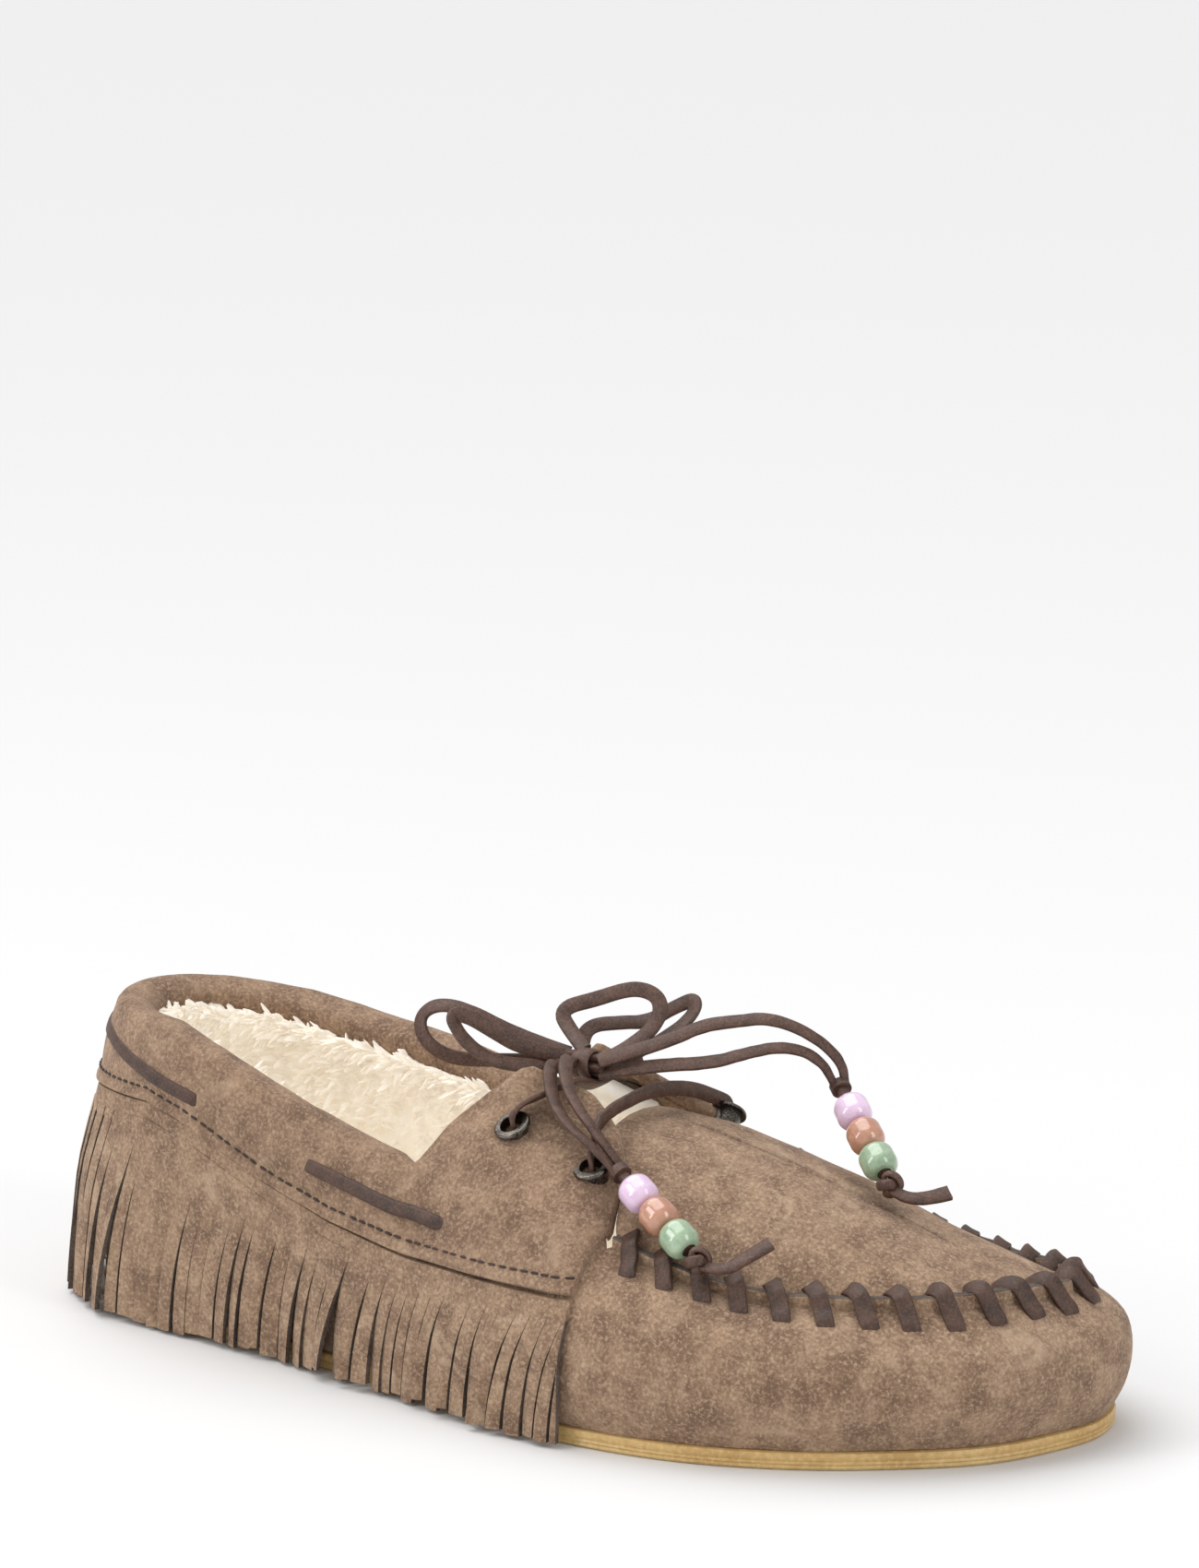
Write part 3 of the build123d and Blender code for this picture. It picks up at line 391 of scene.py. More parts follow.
def mottleGroup():
    group = bpy.data.node_groups.new("mottle", "ShaderNodeTree")
    for name, kind, where in (
        ("Light", "NodeSocketColor", "INPUT"), ("Middle", "NodeSocketColor", "INPUT"),
        ("Dark", "NodeSocketColor", "INPUT"), ("Patch Size", "NodeSocketFloat", "INPUT"),
        ("Grain Size", "NodeSocketFloat", "INPUT"), ("Wear", "NodeSocketFloat", "INPUT"),
        ("Color", "NodeSocketColor", "OUTPUT"), ("Height", "NodeSocketFloat", "OUTPUT"),
    ):
        group.interface.new_socket(name=name, in_out=where, socket_type=kind)
    nodes = group.nodes
    enter, leave = nodes.new("NodeGroupInput"), nodes.new("NodeGroupOutput")
    where = nodes.new("ShaderNodeTexCoord")
    patch, grain, marks = [nodes.new("ShaderNodeTexNoise") for _ in range(3)]
    for texture, detail, rough in ((patch, 5, 0.62), (grain, 6, 0.7), (marks, 3, 0.55)):
        texture.inputs["Detail"].default_value = detail
        texture.inputs["Roughness"].default_value = rough
        nodeLink(group, where.outputs["Object"], texture.inputs["Vector"])
    nodeLink(group, enter.outputs["Patch Size"], patch.inputs["Scale"])
    nodeLink(group, enter.outputs["Grain Size"], grain.inputs["Scale"])
    marks.inputs["Scale"].default_value = 62
    marks.inputs["Distortion"].default_value = 1.6

    def ramp(source, low, high):
        node = nodes.new("ShaderNodeMapRange")
        node.inputs["From Min"].default_value = low
        node.inputs["From Max"].default_value = high
        nodeLink(group, source, node.inputs["Value"])
        return node.outputs["Result"]

    def blend(factor, a, b, kind="MIX"):
        node = nodes.new("ShaderNodeMix")
        node.data_type = "RGBA"
        node.blend_type = kind
        nodeLink(group, factor, node.inputs["Factor"])
        nodeLink(group, a, node.inputs["A"])
        nodeLink(group, b, node.inputs["B"])
        return node.outputs["Result"]

    base = blend(ramp(patch.outputs["Fac"], 0.36, 0.62), enter.outputs["Dark"], enter.outputs["Middle"])
    speck = ramp(grain.outputs["Fac"], 0.49, 0.66)
    half = nodes.new("ShaderNodeMath")
    half.operation = "MULTIPLY"
    half.inputs[1].default_value = 0.75
    nodeLink(group, speck, half.inputs[0])
    napped = blend(half.outputs[0], base, enter.outputs["Light"])
    dips = nodes.new("ShaderNodeMath")
    dips.operation = "MULTIPLY"
    dips.inputs[1].default_value = 0.75
    nodeLink(group, ramp(grain.outputs["Fac"], 0.47, 0.34), dips.inputs[0])
    napped = blend(dips.outputs[0], napped, enter.outputs["Dark"])
    wiped = nodes.new("ShaderNodeMath")
    wiped.operation = "MULTIPLY"
    nodeLink(group, ramp(marks.outputs["Fac"], 0.58, 0.72), wiped.inputs[0])
    nodeLink(group, enter.outputs["Wear"], wiped.inputs[1])
    nodeLink(group, blend(wiped.outputs[0], napped, enter.outputs["Light"]), leave.inputs["Color"])
    nodeLink(group, grain.outputs["Fac"], leave.inputs["Height"])
    return group


mottle = mottleGroup()


def linear(colour):
    return tuple((c / 255 / 12.92 if c <= 10 else ((c / 255 + 0.055) / 1.055) ** 2.4) for c in colour) + (1,)


def napMaterial(name, light, middle, dark, patch=140, grain=1500, wear=0.0, rough=0.9, depth=0.4,
                distance=0.0003, sheen=0.0, settings=None):
    material = bpy.data.materials.new(name)
    material.use_nodes = True
    tree = material.node_tree
    shader = tree.nodes["Principled BSDF"]
    cover = tree.nodes.new("ShaderNodeGroup")
    cover.node_tree = mottle
    for socket, colour in (("Light", light), ("Middle", middle), ("Dark", dark)):
        cover.inputs[socket].default_value = linear(colour)
    cover.inputs["Patch Size"].default_value = patch
    cover.inputs["Grain Size"].default_value = grain
    cover.inputs["Wear"].default_value = wear
    bump = tree.nodes.new("ShaderNodeBump")
    bump.inputs["Strength"].default_value = depth
    bump.inputs["Distance"].default_value = distance
    nodeLink(tree, cover.outputs["Color"], shader.inputs["Base Color"])
    nodeLink(tree, cover.outputs["Height"], bump.inputs["Height"])
    nodeLink(tree, bump.outputs["Normal"], shader.inputs["Normal"])
    shader.inputs["Roughness"].default_value = rough
    shader.inputs["Sheen Weight"].default_value = sheen
    shader.inputs["Sheen Roughness"].default_value = 0.6
    for socket, value in (settings or {}).items():
        shader.inputs[socket].default_value = value
    return material


suede = napMaterial("suede", (212, 182, 152), (176, 144, 115), (126, 96, 73), wear=0.55, sheen=0.08, depth=1.0,
                    distance=0.0008, grain=1300)
suedeRim = napMaterial("suedeRim", (204, 173, 144), (168, 136, 108), (120, 91, 69), wear=0.4, sheen=0.08, depth=1.0,
                       distance=0.0008, grain=1250)
cutEdge = napMaterial("cutEdge", (128, 116, 104), (98, 87, 78), (70, 58, 50), depth=0.6, grain=2200)
laceLeather = napMaterial("laceLeather", (116, 84, 68), (90, 63, 50), (62, 42, 33), patch=320, grain=1900,
                          rough=0.52, depth=0.5, distance=0.0003)
darkLace = napMaterial("darkLace", (104, 74, 58), (80, 55, 42), (52, 35, 27), patch=260, grain=1700,
                       rough=0.55, depth=0.5, distance=0.0003)
thread = napMaterial("thread", (92, 70, 58), (66, 48, 40), (40, 29, 24), patch=400, grain=2600, rough=0.7)
# painted light: the emission gives the fleece a faint cream glow, a painted glow that lifts the fur out of the shade
# inside the shoe
fleece = napMaterial("fleece", (255, 251, 242), (252, 245, 232), (240, 229, 212), patch=90, grain=520,
                     rough=0.95, depth=0.3, distance=0.0008, sheen=0.3,
                     settings={"Subsurface Weight": 0.5, "Subsurface Scale": 0.003,
                               "Subsurface Radius": (1.0, 0.96, 0.9),
                               "Emission Color": (0.92, 0.86, 0.76, 1), "Emission Strength": 0.15})
gum = napMaterial("gumRubber", (226, 196, 138), (212, 180, 120), (190, 154, 96), patch=60, grain=900,
                  rough=0.42, depth=0.12, settings={"Subsurface Weight": 0.25, "Subsurface Scale": 0.004})
board = napMaterial("board", (200, 184, 158), (184, 166, 138), (160, 140, 112), grain=700)
metal = napMaterial("agedMetal", (150, 146, 138), (112, 106, 98), (50, 44, 40), patch=420, grain=2400,
                    rough=0.34, depth=0.15, settings={"Metallic": 1.0})
beadFinish = {"Coat Weight": 1.0, "Coat Roughness": 0.04}
beadPink = napMaterial("beadPink", (240, 216, 238), (232, 204, 230), (220, 188, 218), patch=160, grain=300,
                       rough=0.22, depth=0.02, settings=beadFinish)
beadTan = napMaterial("beadTan", (208, 160, 134), (196, 144, 118), (178, 126, 102), patch=160, grain=300,
                      rough=0.22, depth=0.02, settings=beadFinish)
beadGreen = napMaterial("beadGreen", (176, 198, 168), (160, 184, 152), (140, 164, 134), patch=160, grain=300,
                        rough=0.22, depth=0.02, settings=beadFinish)
print("materials ready")


# ---- camera, light and floor
view = {"place": (0.740552, -1.114031, 0.441656), "forward": (-0.534023, 0.814986, -0.224984), "lens": 143.34}
camera = bpy.data.cameras.new("camera")
camera.lens = view["lens"]
camera.sensor_width = 36
camera.clip_start = 0.05
eye = bpy.data.objects.new("camera", camera)
eye.location = view["place"]
eye.rotation_euler = Vector(view["forward"]).to_track_quat("-Z", "Y").to_euler()
bpy.context.collection.objects.link(eye)
bpy.context.scene.camera = eye

bpy.context.scene.view_settings.view_transform = "Standard"
for name, spot, size, power, colour in (
    ("leftPanel", (-0.75, -0.95, 0.7), (0.35, 1.0), 6, (1, 0.99, 0.98)),
    ("rightPanel", (1.15, -0.2, 0.6), (0.35, 0.9), 4, (0.98, 0.99, 1)),
):
    lamp = bpy.data.lights.new(name, "AREA")
    lamp.shape = "RECTANGLE"
    lamp.size, lamp.size_y = size
    lamp.energy = power
    lamp.color = colour
    holder = bpy.data.objects.new(name, lamp)
    holder.location = spot
    holder.rotation_euler = (Vector((0, 0, 0.03)) - Vector(spot)).to_track_quat("-Z", "Y").to_euler()
    bpy.context.collection.objects.link(holder)
softSun = bpy.data.lights.new("softSun", "SUN")
softSun.energy = 1.9
softSun.angle = math.radians(55)
holder = bpy.data.objects.new("softSun", softSun)
holder.rotation_euler = Vector((0.42, -0.12, -1)).to_track_quat("-Z", "Y").to_euler()
bpy.context.collection.objects.link(holder)

world = bpy.data.worlds.new("studio")
world.use_nodes = True
world.node_tree.nodes["Background"].inputs["Color"].default_value = (0.95, 0.95, 0.955, 1)
world.node_tree.nodes["Background"].inputs["Strength"].default_value = 0.62
bpy.context.scene.world = world

bpy.ops.mesh.primitive_plane_add(size=12, location=(0, 0, 0))
floor = bpy.context.active_object
floor.name = "floor"
paper = bpy.data.materials.new("paper")
paper.use_nodes = True
paperShader = paper.node_tree.nodes["Principled BSDF"]
paperShader.inputs["Base Color"].default_value = (0.75, 0.75, 0.75, 1)
paperShader.inputs["Roughness"].default_value = 0.9
floor.data.materials.append(paper)
floor.select_set(False)
print("stage ready")


# ---- laces: routes from the knot out, distances from the middle of the heel
lace = {"width": 3.4, "thickness": 1.05, "diameter": 0.0034, "wrinkle": 0.18}
faceUp = (0.4, -0.5, 0.76)
loops = {
    "lace_loop_rear_upper": (76.6, [
        (126.8, -1.8, 71.8), (117.5, -6.5, 75), (108.5, -11, 80), (101, -14, 82.5), (96, -16, 79.5),
        (98, -18, 74.5), (104, -16, 70.4), (112, -10.5, 70), (120, -5.5, 70), (126.8, -1.8, 69.3)]),
    "lace_loop_rear_lower": (57.5, [
        (126.8, -4.3, 69.3), (120.5, -12.5, 70.4), (115.5, -18, 72.5), (110, -20, 77), (107, -20, 82),
        (109.5, -17, 81.5), (114, -13, 77.5), (119.5, -9.5, 73.5), (126.8, -4.3, 71.8)]),
    "lace_loop_front_upper": (56.1, [
        (130, -1, 73.2), (124.5, 2, 75.5), (119.5, 4.5, 79.5), (127, 9, 82), (135, 12, 85.2), (140.8, 13, 83.7),
        (142.5, 11, 79.5), (140, 6, 74.5), (136.2, -1.3, 71.8)]),
    "lace_loop_front_lower": (62.2, [
        (129, 0, 71), (125.8, 4, 72.6), (125.8, 7.3, 76), (130.4, 12, 76.3), (136, 16, 76.3), (141, 19, 79.8),
        (146, 20, 82.5), (147, 17.5, 79), (142.5, 10, 74), (136.2, -1.3, 69.2)]),
}
tails = {
    "lace_tail_outer_a": ("outer", 1, [
        (127.2, -6.4, 70.4), (129.5, -13, 73), (133.2, -20, 71), (138.4, -25.2, 67), (143.6, -28.4, 64.6),
        (148.6, -29.6, 62.4), (153.2, -29, 58.9)]),
    "lace_tail_outer_b": ("outer", -1, [
        (130.2, -6.4, 72.4), (132.4, -12, 74), (136, -17.8, 71.6), (141.2, -22.6, 68.2), (148.8, -26, 63.6),
        (153.8, -26.6, 59.2)]),
    "lace_tail_inner_a": ("inner", 1, [
        (136.2, -4.7, 69.4), (147.5, 2, 71.4), (158.5, 6.5, 72.4), (165.5, 10, 75), (171.6, 13.5, 76.6),
        (176.6, 16.6, 75.6), (179.6, 19.4, 72.4), (180.4, 21.2, 69.4)]),
    "lace_tail_inner_b": ("inner", -1, [
        (136.2, -4.7, 72), (147.5, 5, 75.8), (154.4, 9.5, 79.8), (161.3, 13, 81), (167.3, 15.5, 82),
        (173.4, 18.2, 80.2), (178.4, 20.6, 77), (181.4, 22.6, 73.4), (182.4, 23.8, 69.8)]),
}
chains = {
    "outer": {"top": (163.1, -29.9, 52.4), "step": (13, -4.8, -6.4), "head": -6.4,
              "tip": [(3.2, 0.8, -0.2), (6.6, 4.6, 2.2), (10.6, 9.0, 5.4)]},
    "inner": {"top": (187.6, 18.9, 62.9), "step": (17, -12.2, -11.1), "head": -7.0,
              "tip": [(3.0, 0.2, -0.6), (6.6, 3.8, -0.6), (9.4, 7.2, 0.2)]},
}
bars = {
    "lace_bar_rear": (66.9, [
        (129.84, -27.86, 60.39), (129.29, -30.3, 64.26), (130.5, -25.5, 66.8), (133, -21.5, 68), (135, -16.5, 69.2),
        (135.2, -11, 68.6), (134.6, -4, 66), (134.5, 5, 66), (132.5, 12, 68.4), (129.8, 17.5, 68.2),
        (127.99, 24.61, 63.41), (128.68, 21.35, 60.28)]),
    "lace_bar_front": (68.9, [
        (150.1, -27.5, 53.8), (149.9, -29.4, 58.0), (148.2, -24.5, 60.8), (146, -20, 63), (146.2, -15.5, 64.8),
        (145.6, -8, 65), (146, 0, 65.6), (147.7, 8, 64.9), (148.7, 15.5, 62.8), (149.6, 21, 60.2),
        (150.2, 28.3, 56.7), (150.9, 24.9, 53.6)]),
}


def strandPiece(name, points, normal, material=laceLeather, resolution=7, **extra):
    line = smoothLine(points, resolution)
    store = newStore()
    addRings(store, ribbonRings(line, normal, lace["width"], lace["thickness"], wrinkle=lace["wrinkle"],
                                seed=len(name) + points[0].x * 900, **extra))
    return line, makePiece(name.replace("lace_", "strand_"), store, [material], [name], angle=65)


for name, (length, route) in loops.items():
    line, piece = strandPiece(name, fromHeel(route), faceUp)
tailStrands = {}
for name, (side, sign, route) in tails.items():
    chain = chains[side]
    along = Vector(chain["step"]).normalized()
    across = along.cross(Vector((0, 0, 1))).normalized() * sign * 1.15 * mm
    end = fromHeel([chain["top"]])[0] + along * (chain["head"] - 1.0) * mm + across
    tailStrands[name] = strandPiece(name, fromHeel(route) + [end], faceUp, taper=(1, 0.62))
for name, (length, route) in bars.items():
    line, piece = strandPiece(name, fromHeel(route), (0.2, -0.2, 0.9))
print("laces ready")


# ---- knots: a gathered middle with a band round it, and a turned knot under each bead row
knot = {"centre": (131.5, -3.0, 70.5), "length": 11.0, "width": 8.0, "height": 7.0}
centre = fromHeel([knot["centre"]])[0]
store = newStore()
for k, (offset, lift, bow) in enumerate(((-2.4, 0.2, 1.4), (0.0, 1.9, 0.6), (2.4, 0.3, -1.2), (0.2, -1.6, -0.6))):
    route = [centre + Vector((x, offset * (0.75 + abs(x) / 18) + bow * math.sin(x * 0.3), lift - abs(x) * 0.05)) * mm
             for x in (-5.6, -3.6, -1.2, 1.2, 3.6, 5.6)]
    addRings(store, ribbonRings(smoothLine(route, 6), (0, 0.25 * (k - 1), 1), 3.0, 1.5, wrinkle=0.25, seed=k * 3.1))
for shift, tilt in ((-1.1, 0.8), (1.5, -0.5)):
    band = []
    for i in range(21):
        angle = math.tau * i / 20
        band.append(centre + Vector((shift + tilt * math.sin(angle), 3.5 * math.cos(angle),
                                     2.95 * math.sin(angle))) * mm)
    rings = []
    for i, point in enumerate(band[:-1]):
        out = (point - centre - Vector((shift * mm, 0, 0))).normalized()
        rings.append([point + Vector((a * 1.5 * mm, 0, 0)) + out * b * 0.55 * mm
                      for a, b in ((-1, 0), (-0.8, 0.8), (0, 1.1), (0.8, 0.8), (1, 0), (0, -0.8))])
    rings.append(rings[0])
    addRings(store, rings, cap=False)
makePiece("knotMiddle", store, [laceLeather], ["bow_knot"], angle=60)

for side, chain in chains.items():
    along = Vector(chain["step"]).normalized()
    top = fromHeel([chain["top"]])[0]
    sideways = along.cross(Vector((0, 0, 1))).normalized()
    over = sideways.cross(along)
    start, reach = 19.9, 6.6
    store = newStore()
    turns = []
    for i in range(41):
        angle = math.tau * i / 40
        radius = 1.75 + 0.7 * math.cos(3 * angle)
        turns.append(top + along * (start + reach / 2 + 1.55 * math.sin(3 * angle)) * mm
                     + sideways * radius * math.cos(2 * angle) * mm + over * radius * math.sin(2 * angle) * mm)
    rings = []
    for i in range(40):
        tangent = (turns[(i + 1) % 40] - turns[i - 1]).normalized()
        away = turns[i] - top - along * (start + reach / 2) * mm
        away = (away - tangent * away.dot(tangent)).normalized()
        cross = tangent.cross(away)
        rings.append([turns[i] + cross * a * 1.35 * mm + away * b * 0.75 * mm
                      for a, b in ((-1, 0), (-0.7, 0.8), (0, 1), (0.7, 0.8), (1, 0), (0.7, -0.8), (-0.7, -0.8))])
    rings.append(rings[0])
    addRings(store, rings, cap=False)
    beaded = [bpy.data.objects["bead_" + colour + "_" + side] for colour in ("pink", "tan", "green")]
    beaded.append(bpy.data.objects["lace_core_" + side])
    stopKnot = makePiece("stopKnot" + side.title(), store, [laceLeather], ["stop_knot_" + side],
              angle=60, levels=1)
    end = top + along * (start + reach) * mm
    route = [end - along * 1.5 * mm] + [end + Vector(p) * mm for p in chain["tip"]]
    store = newStore()
    line = smoothLine(route, 8)
    addRings(store, ribbonRings(line, over + sideways * 0.3, 3.0, 1.2, taper=(0.85, 1.2), wrinkle=0.2, seed=4))
    lastBit = makePiece("laceEnd" + side.title(), store, [laceLeather], ["lace_tip_" + side],
                        angle=60)
    for label, farEnd, carried in (("a", "knot", beaded + [stopKnot, lastBit]), ("b", "object", [])):
        line, piece = tailStrands["lace_tail_" + side + "_" + label]
print("knots ready")


# ---- sole
sole = {"height": 4.0, "rings": [(1.4, 0.0), (0.5, 0.15), (0.1, 0.7), (0.35, 1.15), (0.1, 1.6), (0.35, 2.05),
                                 (0.1, 2.5), (0.0, 3.3), (0.25, 3.85), (0.9, 4.0), (3.0, 4.0)]}
store = newStore()
rings = [[place(i / 8, -inset, z) for i in range(8 * turn)] for inset, z in sole["rings"]]
addRings(store, rings)
makePiece("sole", store, [gum], ["outsole"], angle=40)


# ---- base walls, the vamp and its upturned edge
def baseTop(s):
    depth = between([(100, 6.0), (109, 2.0)], outline(s)[0])
    return shareBelowTop(s, depth + 1.2)


upper = {"leather": 1.5, "bumps": 0.22}
for name, start, end in (("quarter_outer", 0.02, placeOf(152.6, 6, 7)),
                         ("quarter_inner", placeOf(152.6, 17, 16), turn - 0.02)):
    store = newStore()
    addRings(store, wallRings(start, end, 60, lambda s: 0, baseTop, -1.5, 0, rows=10))
    makePiece(name.replace("_", "Wall_"), store, [suede], [name])


def vampTop(s):
    x = outline(s)[0]
    share = smoothStep(157.2, 160, x)
    return baseTop(s) * (1 - share) + share if x < 160 else 1.0


store = newStore()
addRings(store, wallRings(vampStart, vampEnd, 190, lambda s: 0, vampTop, -1.5, 0, rows=22, rough=0.45, grain=15))


def edgeRings(outer, inner, bottom, top, count=230, seed=0.0):
    rings = []
    for s in spread(seamStart, seamEnd, count):
        w, z = onProfile(s, 1.0)
        point = place(s, w, z)
        top2 = top + uneven(point, 3, 0.25, seed)
        lean = uneven(point, 5, 0.18, seed + 3)
        mid = (outer + inner) / 2
        section = [(outer, bottom), (outer + lean * 0.5, top2 * 0.55), (outer + lean, top2 - 0.2), (outer - 0.2 + lean, top2),
                   (inner + 0.2 + lean, top2), (inner + lean, top2 - 0.2), (inner + lean * 0.5, top2 * 0.55),
                   (inner, bottom)]
        rings.append([place(s, w + a, z + b) for a, b in section])
    return rings


edgeSlots = [0, 0, 1, 1, 1, 0, 0, 0]
addRings(store, edgeRings(1.05, -0.2, -1.2, 2.4, seed=1.0), slots=edgeSlots)
makePiece("vampUpper", store, [suede, cutEdge], ["vamp"])

# ---- apron: crowned plate inside the seam, with the tongue behind
apron = {"rings": 26, "edgeInset": 0.9}
edge = []
for s in spread(seamStart, seamEnd, 150):
    w, z = onProfile(s, 1.0)
    point = place(s, w - apron["edgeInset"], z)
    edge.append((point.x / mm - heelX, point.y / mm - middleY))
rear = [(157.6, 30.0), (155, 26.5), (152, 23.0), (148, 20.8), (144.4, 19.2), (143.8, 14), (143.6, 8), (143.6, 2),
        (143.6, -4), (143.8, -10), (144.2, -14.5), (148, -15.6), (152, -18), (155, -24), (157.6, -30.4)]
around = edge + rear
rings = []
for k in range(apron["rings"] + 1):
    share = 1 - (k / (apron["rings"] + 0.6)) ** 1.15
    ring = []
    for x, y in around:
        spineX = min(max(x, 156), 226)
        spineY = between([(140, 1.0), (190, 3.6), (230, 9.5)], spineX)
        px, py = spineX + (x - spineX) * share, spineY + (y - spineY) * share
        z = apronHeight(px, py)
        ahead = smoothStep(150, 178, px)
        puff = uneven((px * mm, py * mm, 0), 22, 1.1) * ahead * (1 - share ** 6) * 1.0
        ring.append(Vector((heelX + px, middleY + py, z + puff - 0.25)) * mm)
    rings.append(ring)
under = [[p - Vector((0, 0, 1.5 * mm)) for p in ring] for ring in reversed(rings)]
store = newStore()
addRings(store, list(reversed(under)) [::-1] + rings, cap=True)
addRings(store, edgeRings(-0.45, -1.65, -1.2, 2.25, seed=7.0), slots=edgeSlots)
makePiece("apronTop", store, [suede, cutEdge], ["apron"], angle=60)
print("upper ready")

# ---- whip lacing over the seam
whip = {"pitch": 8.9, "width": 3.9, "thickness": 1.2, "slant": 2.3}
store = newStore()
for k, s in enumerate(evenPlaces(seamStart, seamEnd, whip["pitch"], lambda s: place(s, *onProfile(s, 1.0)))):
    ahead = (Vector((*outline(s + 0.02), 0)) - Vector((*outline(s - 0.02), 0)))
    along = ahead.normalized()
    out = Vector((*outward(s), 0))
    w, z = onProfile(s, 1.0)
    hub = place(s, w - 0.3, z)
    slant = whip["slant"] * random.uniform(0.75, 1.25)
    tall = random.uniform(-0.2, 0.3)
    inward = [place(s, w - a, 0) for a in (2.9, 3.9)]
    crown = [apronHeight(p.x / mm - heelX, p.y / mm - middleY) for p in inward]
    legs = [wall(s, shareBelowTop(s, reach), lift) for reach, lift in ((5.8, -0.5), (5.0, 0.55), (3.2, 0.9))]
    over = [place(s, w + a, z + b + tall) for a, b in ((1.9, 1.6), (1.2, 3.1), (-0.9, 3.3))]
    over += [place(s, w - 2.9, crown[0] + 0.75), place(s, w - 3.9, crown[1] - 0.8)]
    route = [p + along * slant * share * mm
             for p, share in zip(legs + over, (1.2, 1.1, 0.8, 0.45, 0.2, -0.2, -0.6, -0.8))]
    rings = ribbonRings(smoothLine(route, 5), out * mm, whip["width"], whip["thickness"],
                        wrinkle=0.14, seed=k * 1.7)
    addRings(store, rings)
makePiece("whipLacing", store, [darkLace], ["whip_lace"], angle=60)

# ---- collar with its rolled rim
collar = {"outer": 1.75, "inner": 0.25, "sections": 330, "rough": 0.3}


def rollSize(s):
    x = outline(s)[0]
    return between([(100, 6.6), (109, 1.4)], x), between([(100, 6.0), (109, 2.0)], x)


store = newStore()
rings = []
for s in spread(innerFront - turn, outerFront, collar["sections"]):
    low = shareAt(s, between(collarEdge, outline(s)[0]))
    width, depth = rollSize(s)
    hUnder = shareBelowTop(s, depth)
    (w, z), (tw, tz) = onProfile(s, 1.0), rise(s, 1.0)
    nw, nz = tz, -tw
    outer, inner = collar["outer"], collar["inner"]
    ring = []
    for k, h in enumerate([low, low + 0.004, low + 0.018, low + 0.045] + spread(low + 0.07, 1.0, 15)):
        plump = (0.25, 0.75, 0.7, 0.15, 0.0)[min(k, 4)]
        fat = width / 6.6 * 0.9 * smoothStep(0.62, 0.95, h)
        point = wall(s, h, outer)
        ring.append(wall(s, h, outer + plump + fat + uneven(point, 11, collar["rough"]) * (k > 3)))
    fat = width / 6.6 * 0.9
    radius = (outer + fat + width) / 2
    for k in range(1, 9):
        angle = math.pi * k / 8
        across = outer + fat - radius + radius * math.cos(angle)
        up = radius * math.sin(angle) * (0.52 if width > 3 else 0.8)
        point = place(s, w + nw * across + tw * up, z + nz * across + tz * up)
        puff = uneven(point, 8, 0.35) * width / 6.6
        ring.append(place(s, w + nw * across + tw * (up + puff), z + nz * across + tz * (up + puff)))
    ring.append(place(s, w - nw * (width + 0.2) - tw * depth * 0.5, z - nz * (width + 0.2) - tz * depth * 0.5))
    ring.append(place(s, w - nw * width * 0.9 - tw * depth, z - nz * width * 0.9 - tz * depth))
    ring.append(wall(s, hUnder, inner))
    ring += [wall(s, h, inner) for h in spread(hUnder + (low - hUnder) * 0.2, low, 6)]
    rings.append(ring)
addRings(store, rings)
rimCollar = makePiece("collarBand", store, [suedeRim], ["collar"], angle=60)

eyelet = {"hole": 5.6, "seats": [
    ((129.7, -28.5, 61.4), (-0.12, -0.53, 0.84)), ((150.05, -28.0, 54.9), (-0.04, -0.41, 0.91)),
    ((128.5, 22.2, 61.1), (-0.15, 0.71, 0.68)), ((150.7, 25.8, 54.4), (-0.15, 0.73, 0.67))]}
for seat, normal in eyelet["seats"]:
    bpy.ops.mesh.primitive_cylinder_add(vertices=32, radius=eyelet["hole"] / 2 * mm, depth=5 * mm,
                                        location=fromHeel([seat])[0],
                                        rotation=Vector(normal).to_track_quat("Z", "Y").to_euler())
    punch = bpy.context.active_object
    hole = rimCollar.modifiers.new("hole", "BOOLEAN")
    hole.object = punch
    hole.operation = "DIFFERENCE"
    punch.select_set(False)
    bpy.context.view_layer.objects.active = rimCollar
    bpy.ops.object.modifier_apply(modifier="hole")
    bpy.data.objects.remove(punch)
print("collar ready")

# ---- thong round the collar
thong = {"width": 3.3, "thickness": 1.2, "lift": 2.3}


def thongPoint(s, lift):
    return wall(s, shareAt(s, between(thongLine, outline(s)[0])), lift)


store = newStore()
for start, end in ((placeOf(49, 19, 21) - turn, placeOf(49, 2, 4)), (placeOf(79, 3, 5), placeOf(120, 4, 6)),
                   (placeOf(120, 17, 19), placeOf(79, 18, 20))):
    count = max(14, int(abs(end - start) * 16))
    places = spread(start, end, count)
    line = [thongPoint(s, thong["lift"] - (1.5 if i in (0, count - 1) else 0.15 * (i in (1, count - 2))))
            for i, s in enumerate(places)]
    rings = []
    for i, s in enumerate(places):
        along = (line[min(i + 1, count - 1)] - line[max(i - 1, 0)]).normalized()
        normal = (thongPoint(s, 3) - thongPoint(s, 0)).normalized()
        side = along.cross(normal).normalized()
        size = 0.8 if i in (0, count - 1) else 1
        ring = []
        for a, b in ((-1, 0), (-0.86, 0.8), (-0.35, 1), (0.35, 1), (0.86, 0.8), (1, 0), (0.86, -0.8), (-0.86, -0.8)):
            point = line[i] + side * a * size * thong["width"] / 2 * mm
            ring.append(point + normal * (b * thong["thickness"] / 2 + uneven(point, 4, 0.15)) * mm)
        rings.append(ring)
    addRings(store, rings)
makePiece("collarThong", store, [darkLace], ["collar_lace"], angle=60)

# ---- small stitches above the collar's edge
stitch = {"pitch": 2.8, "length": 2.1, "width": 0.75, "height": 0.5, "rise": 3.0}


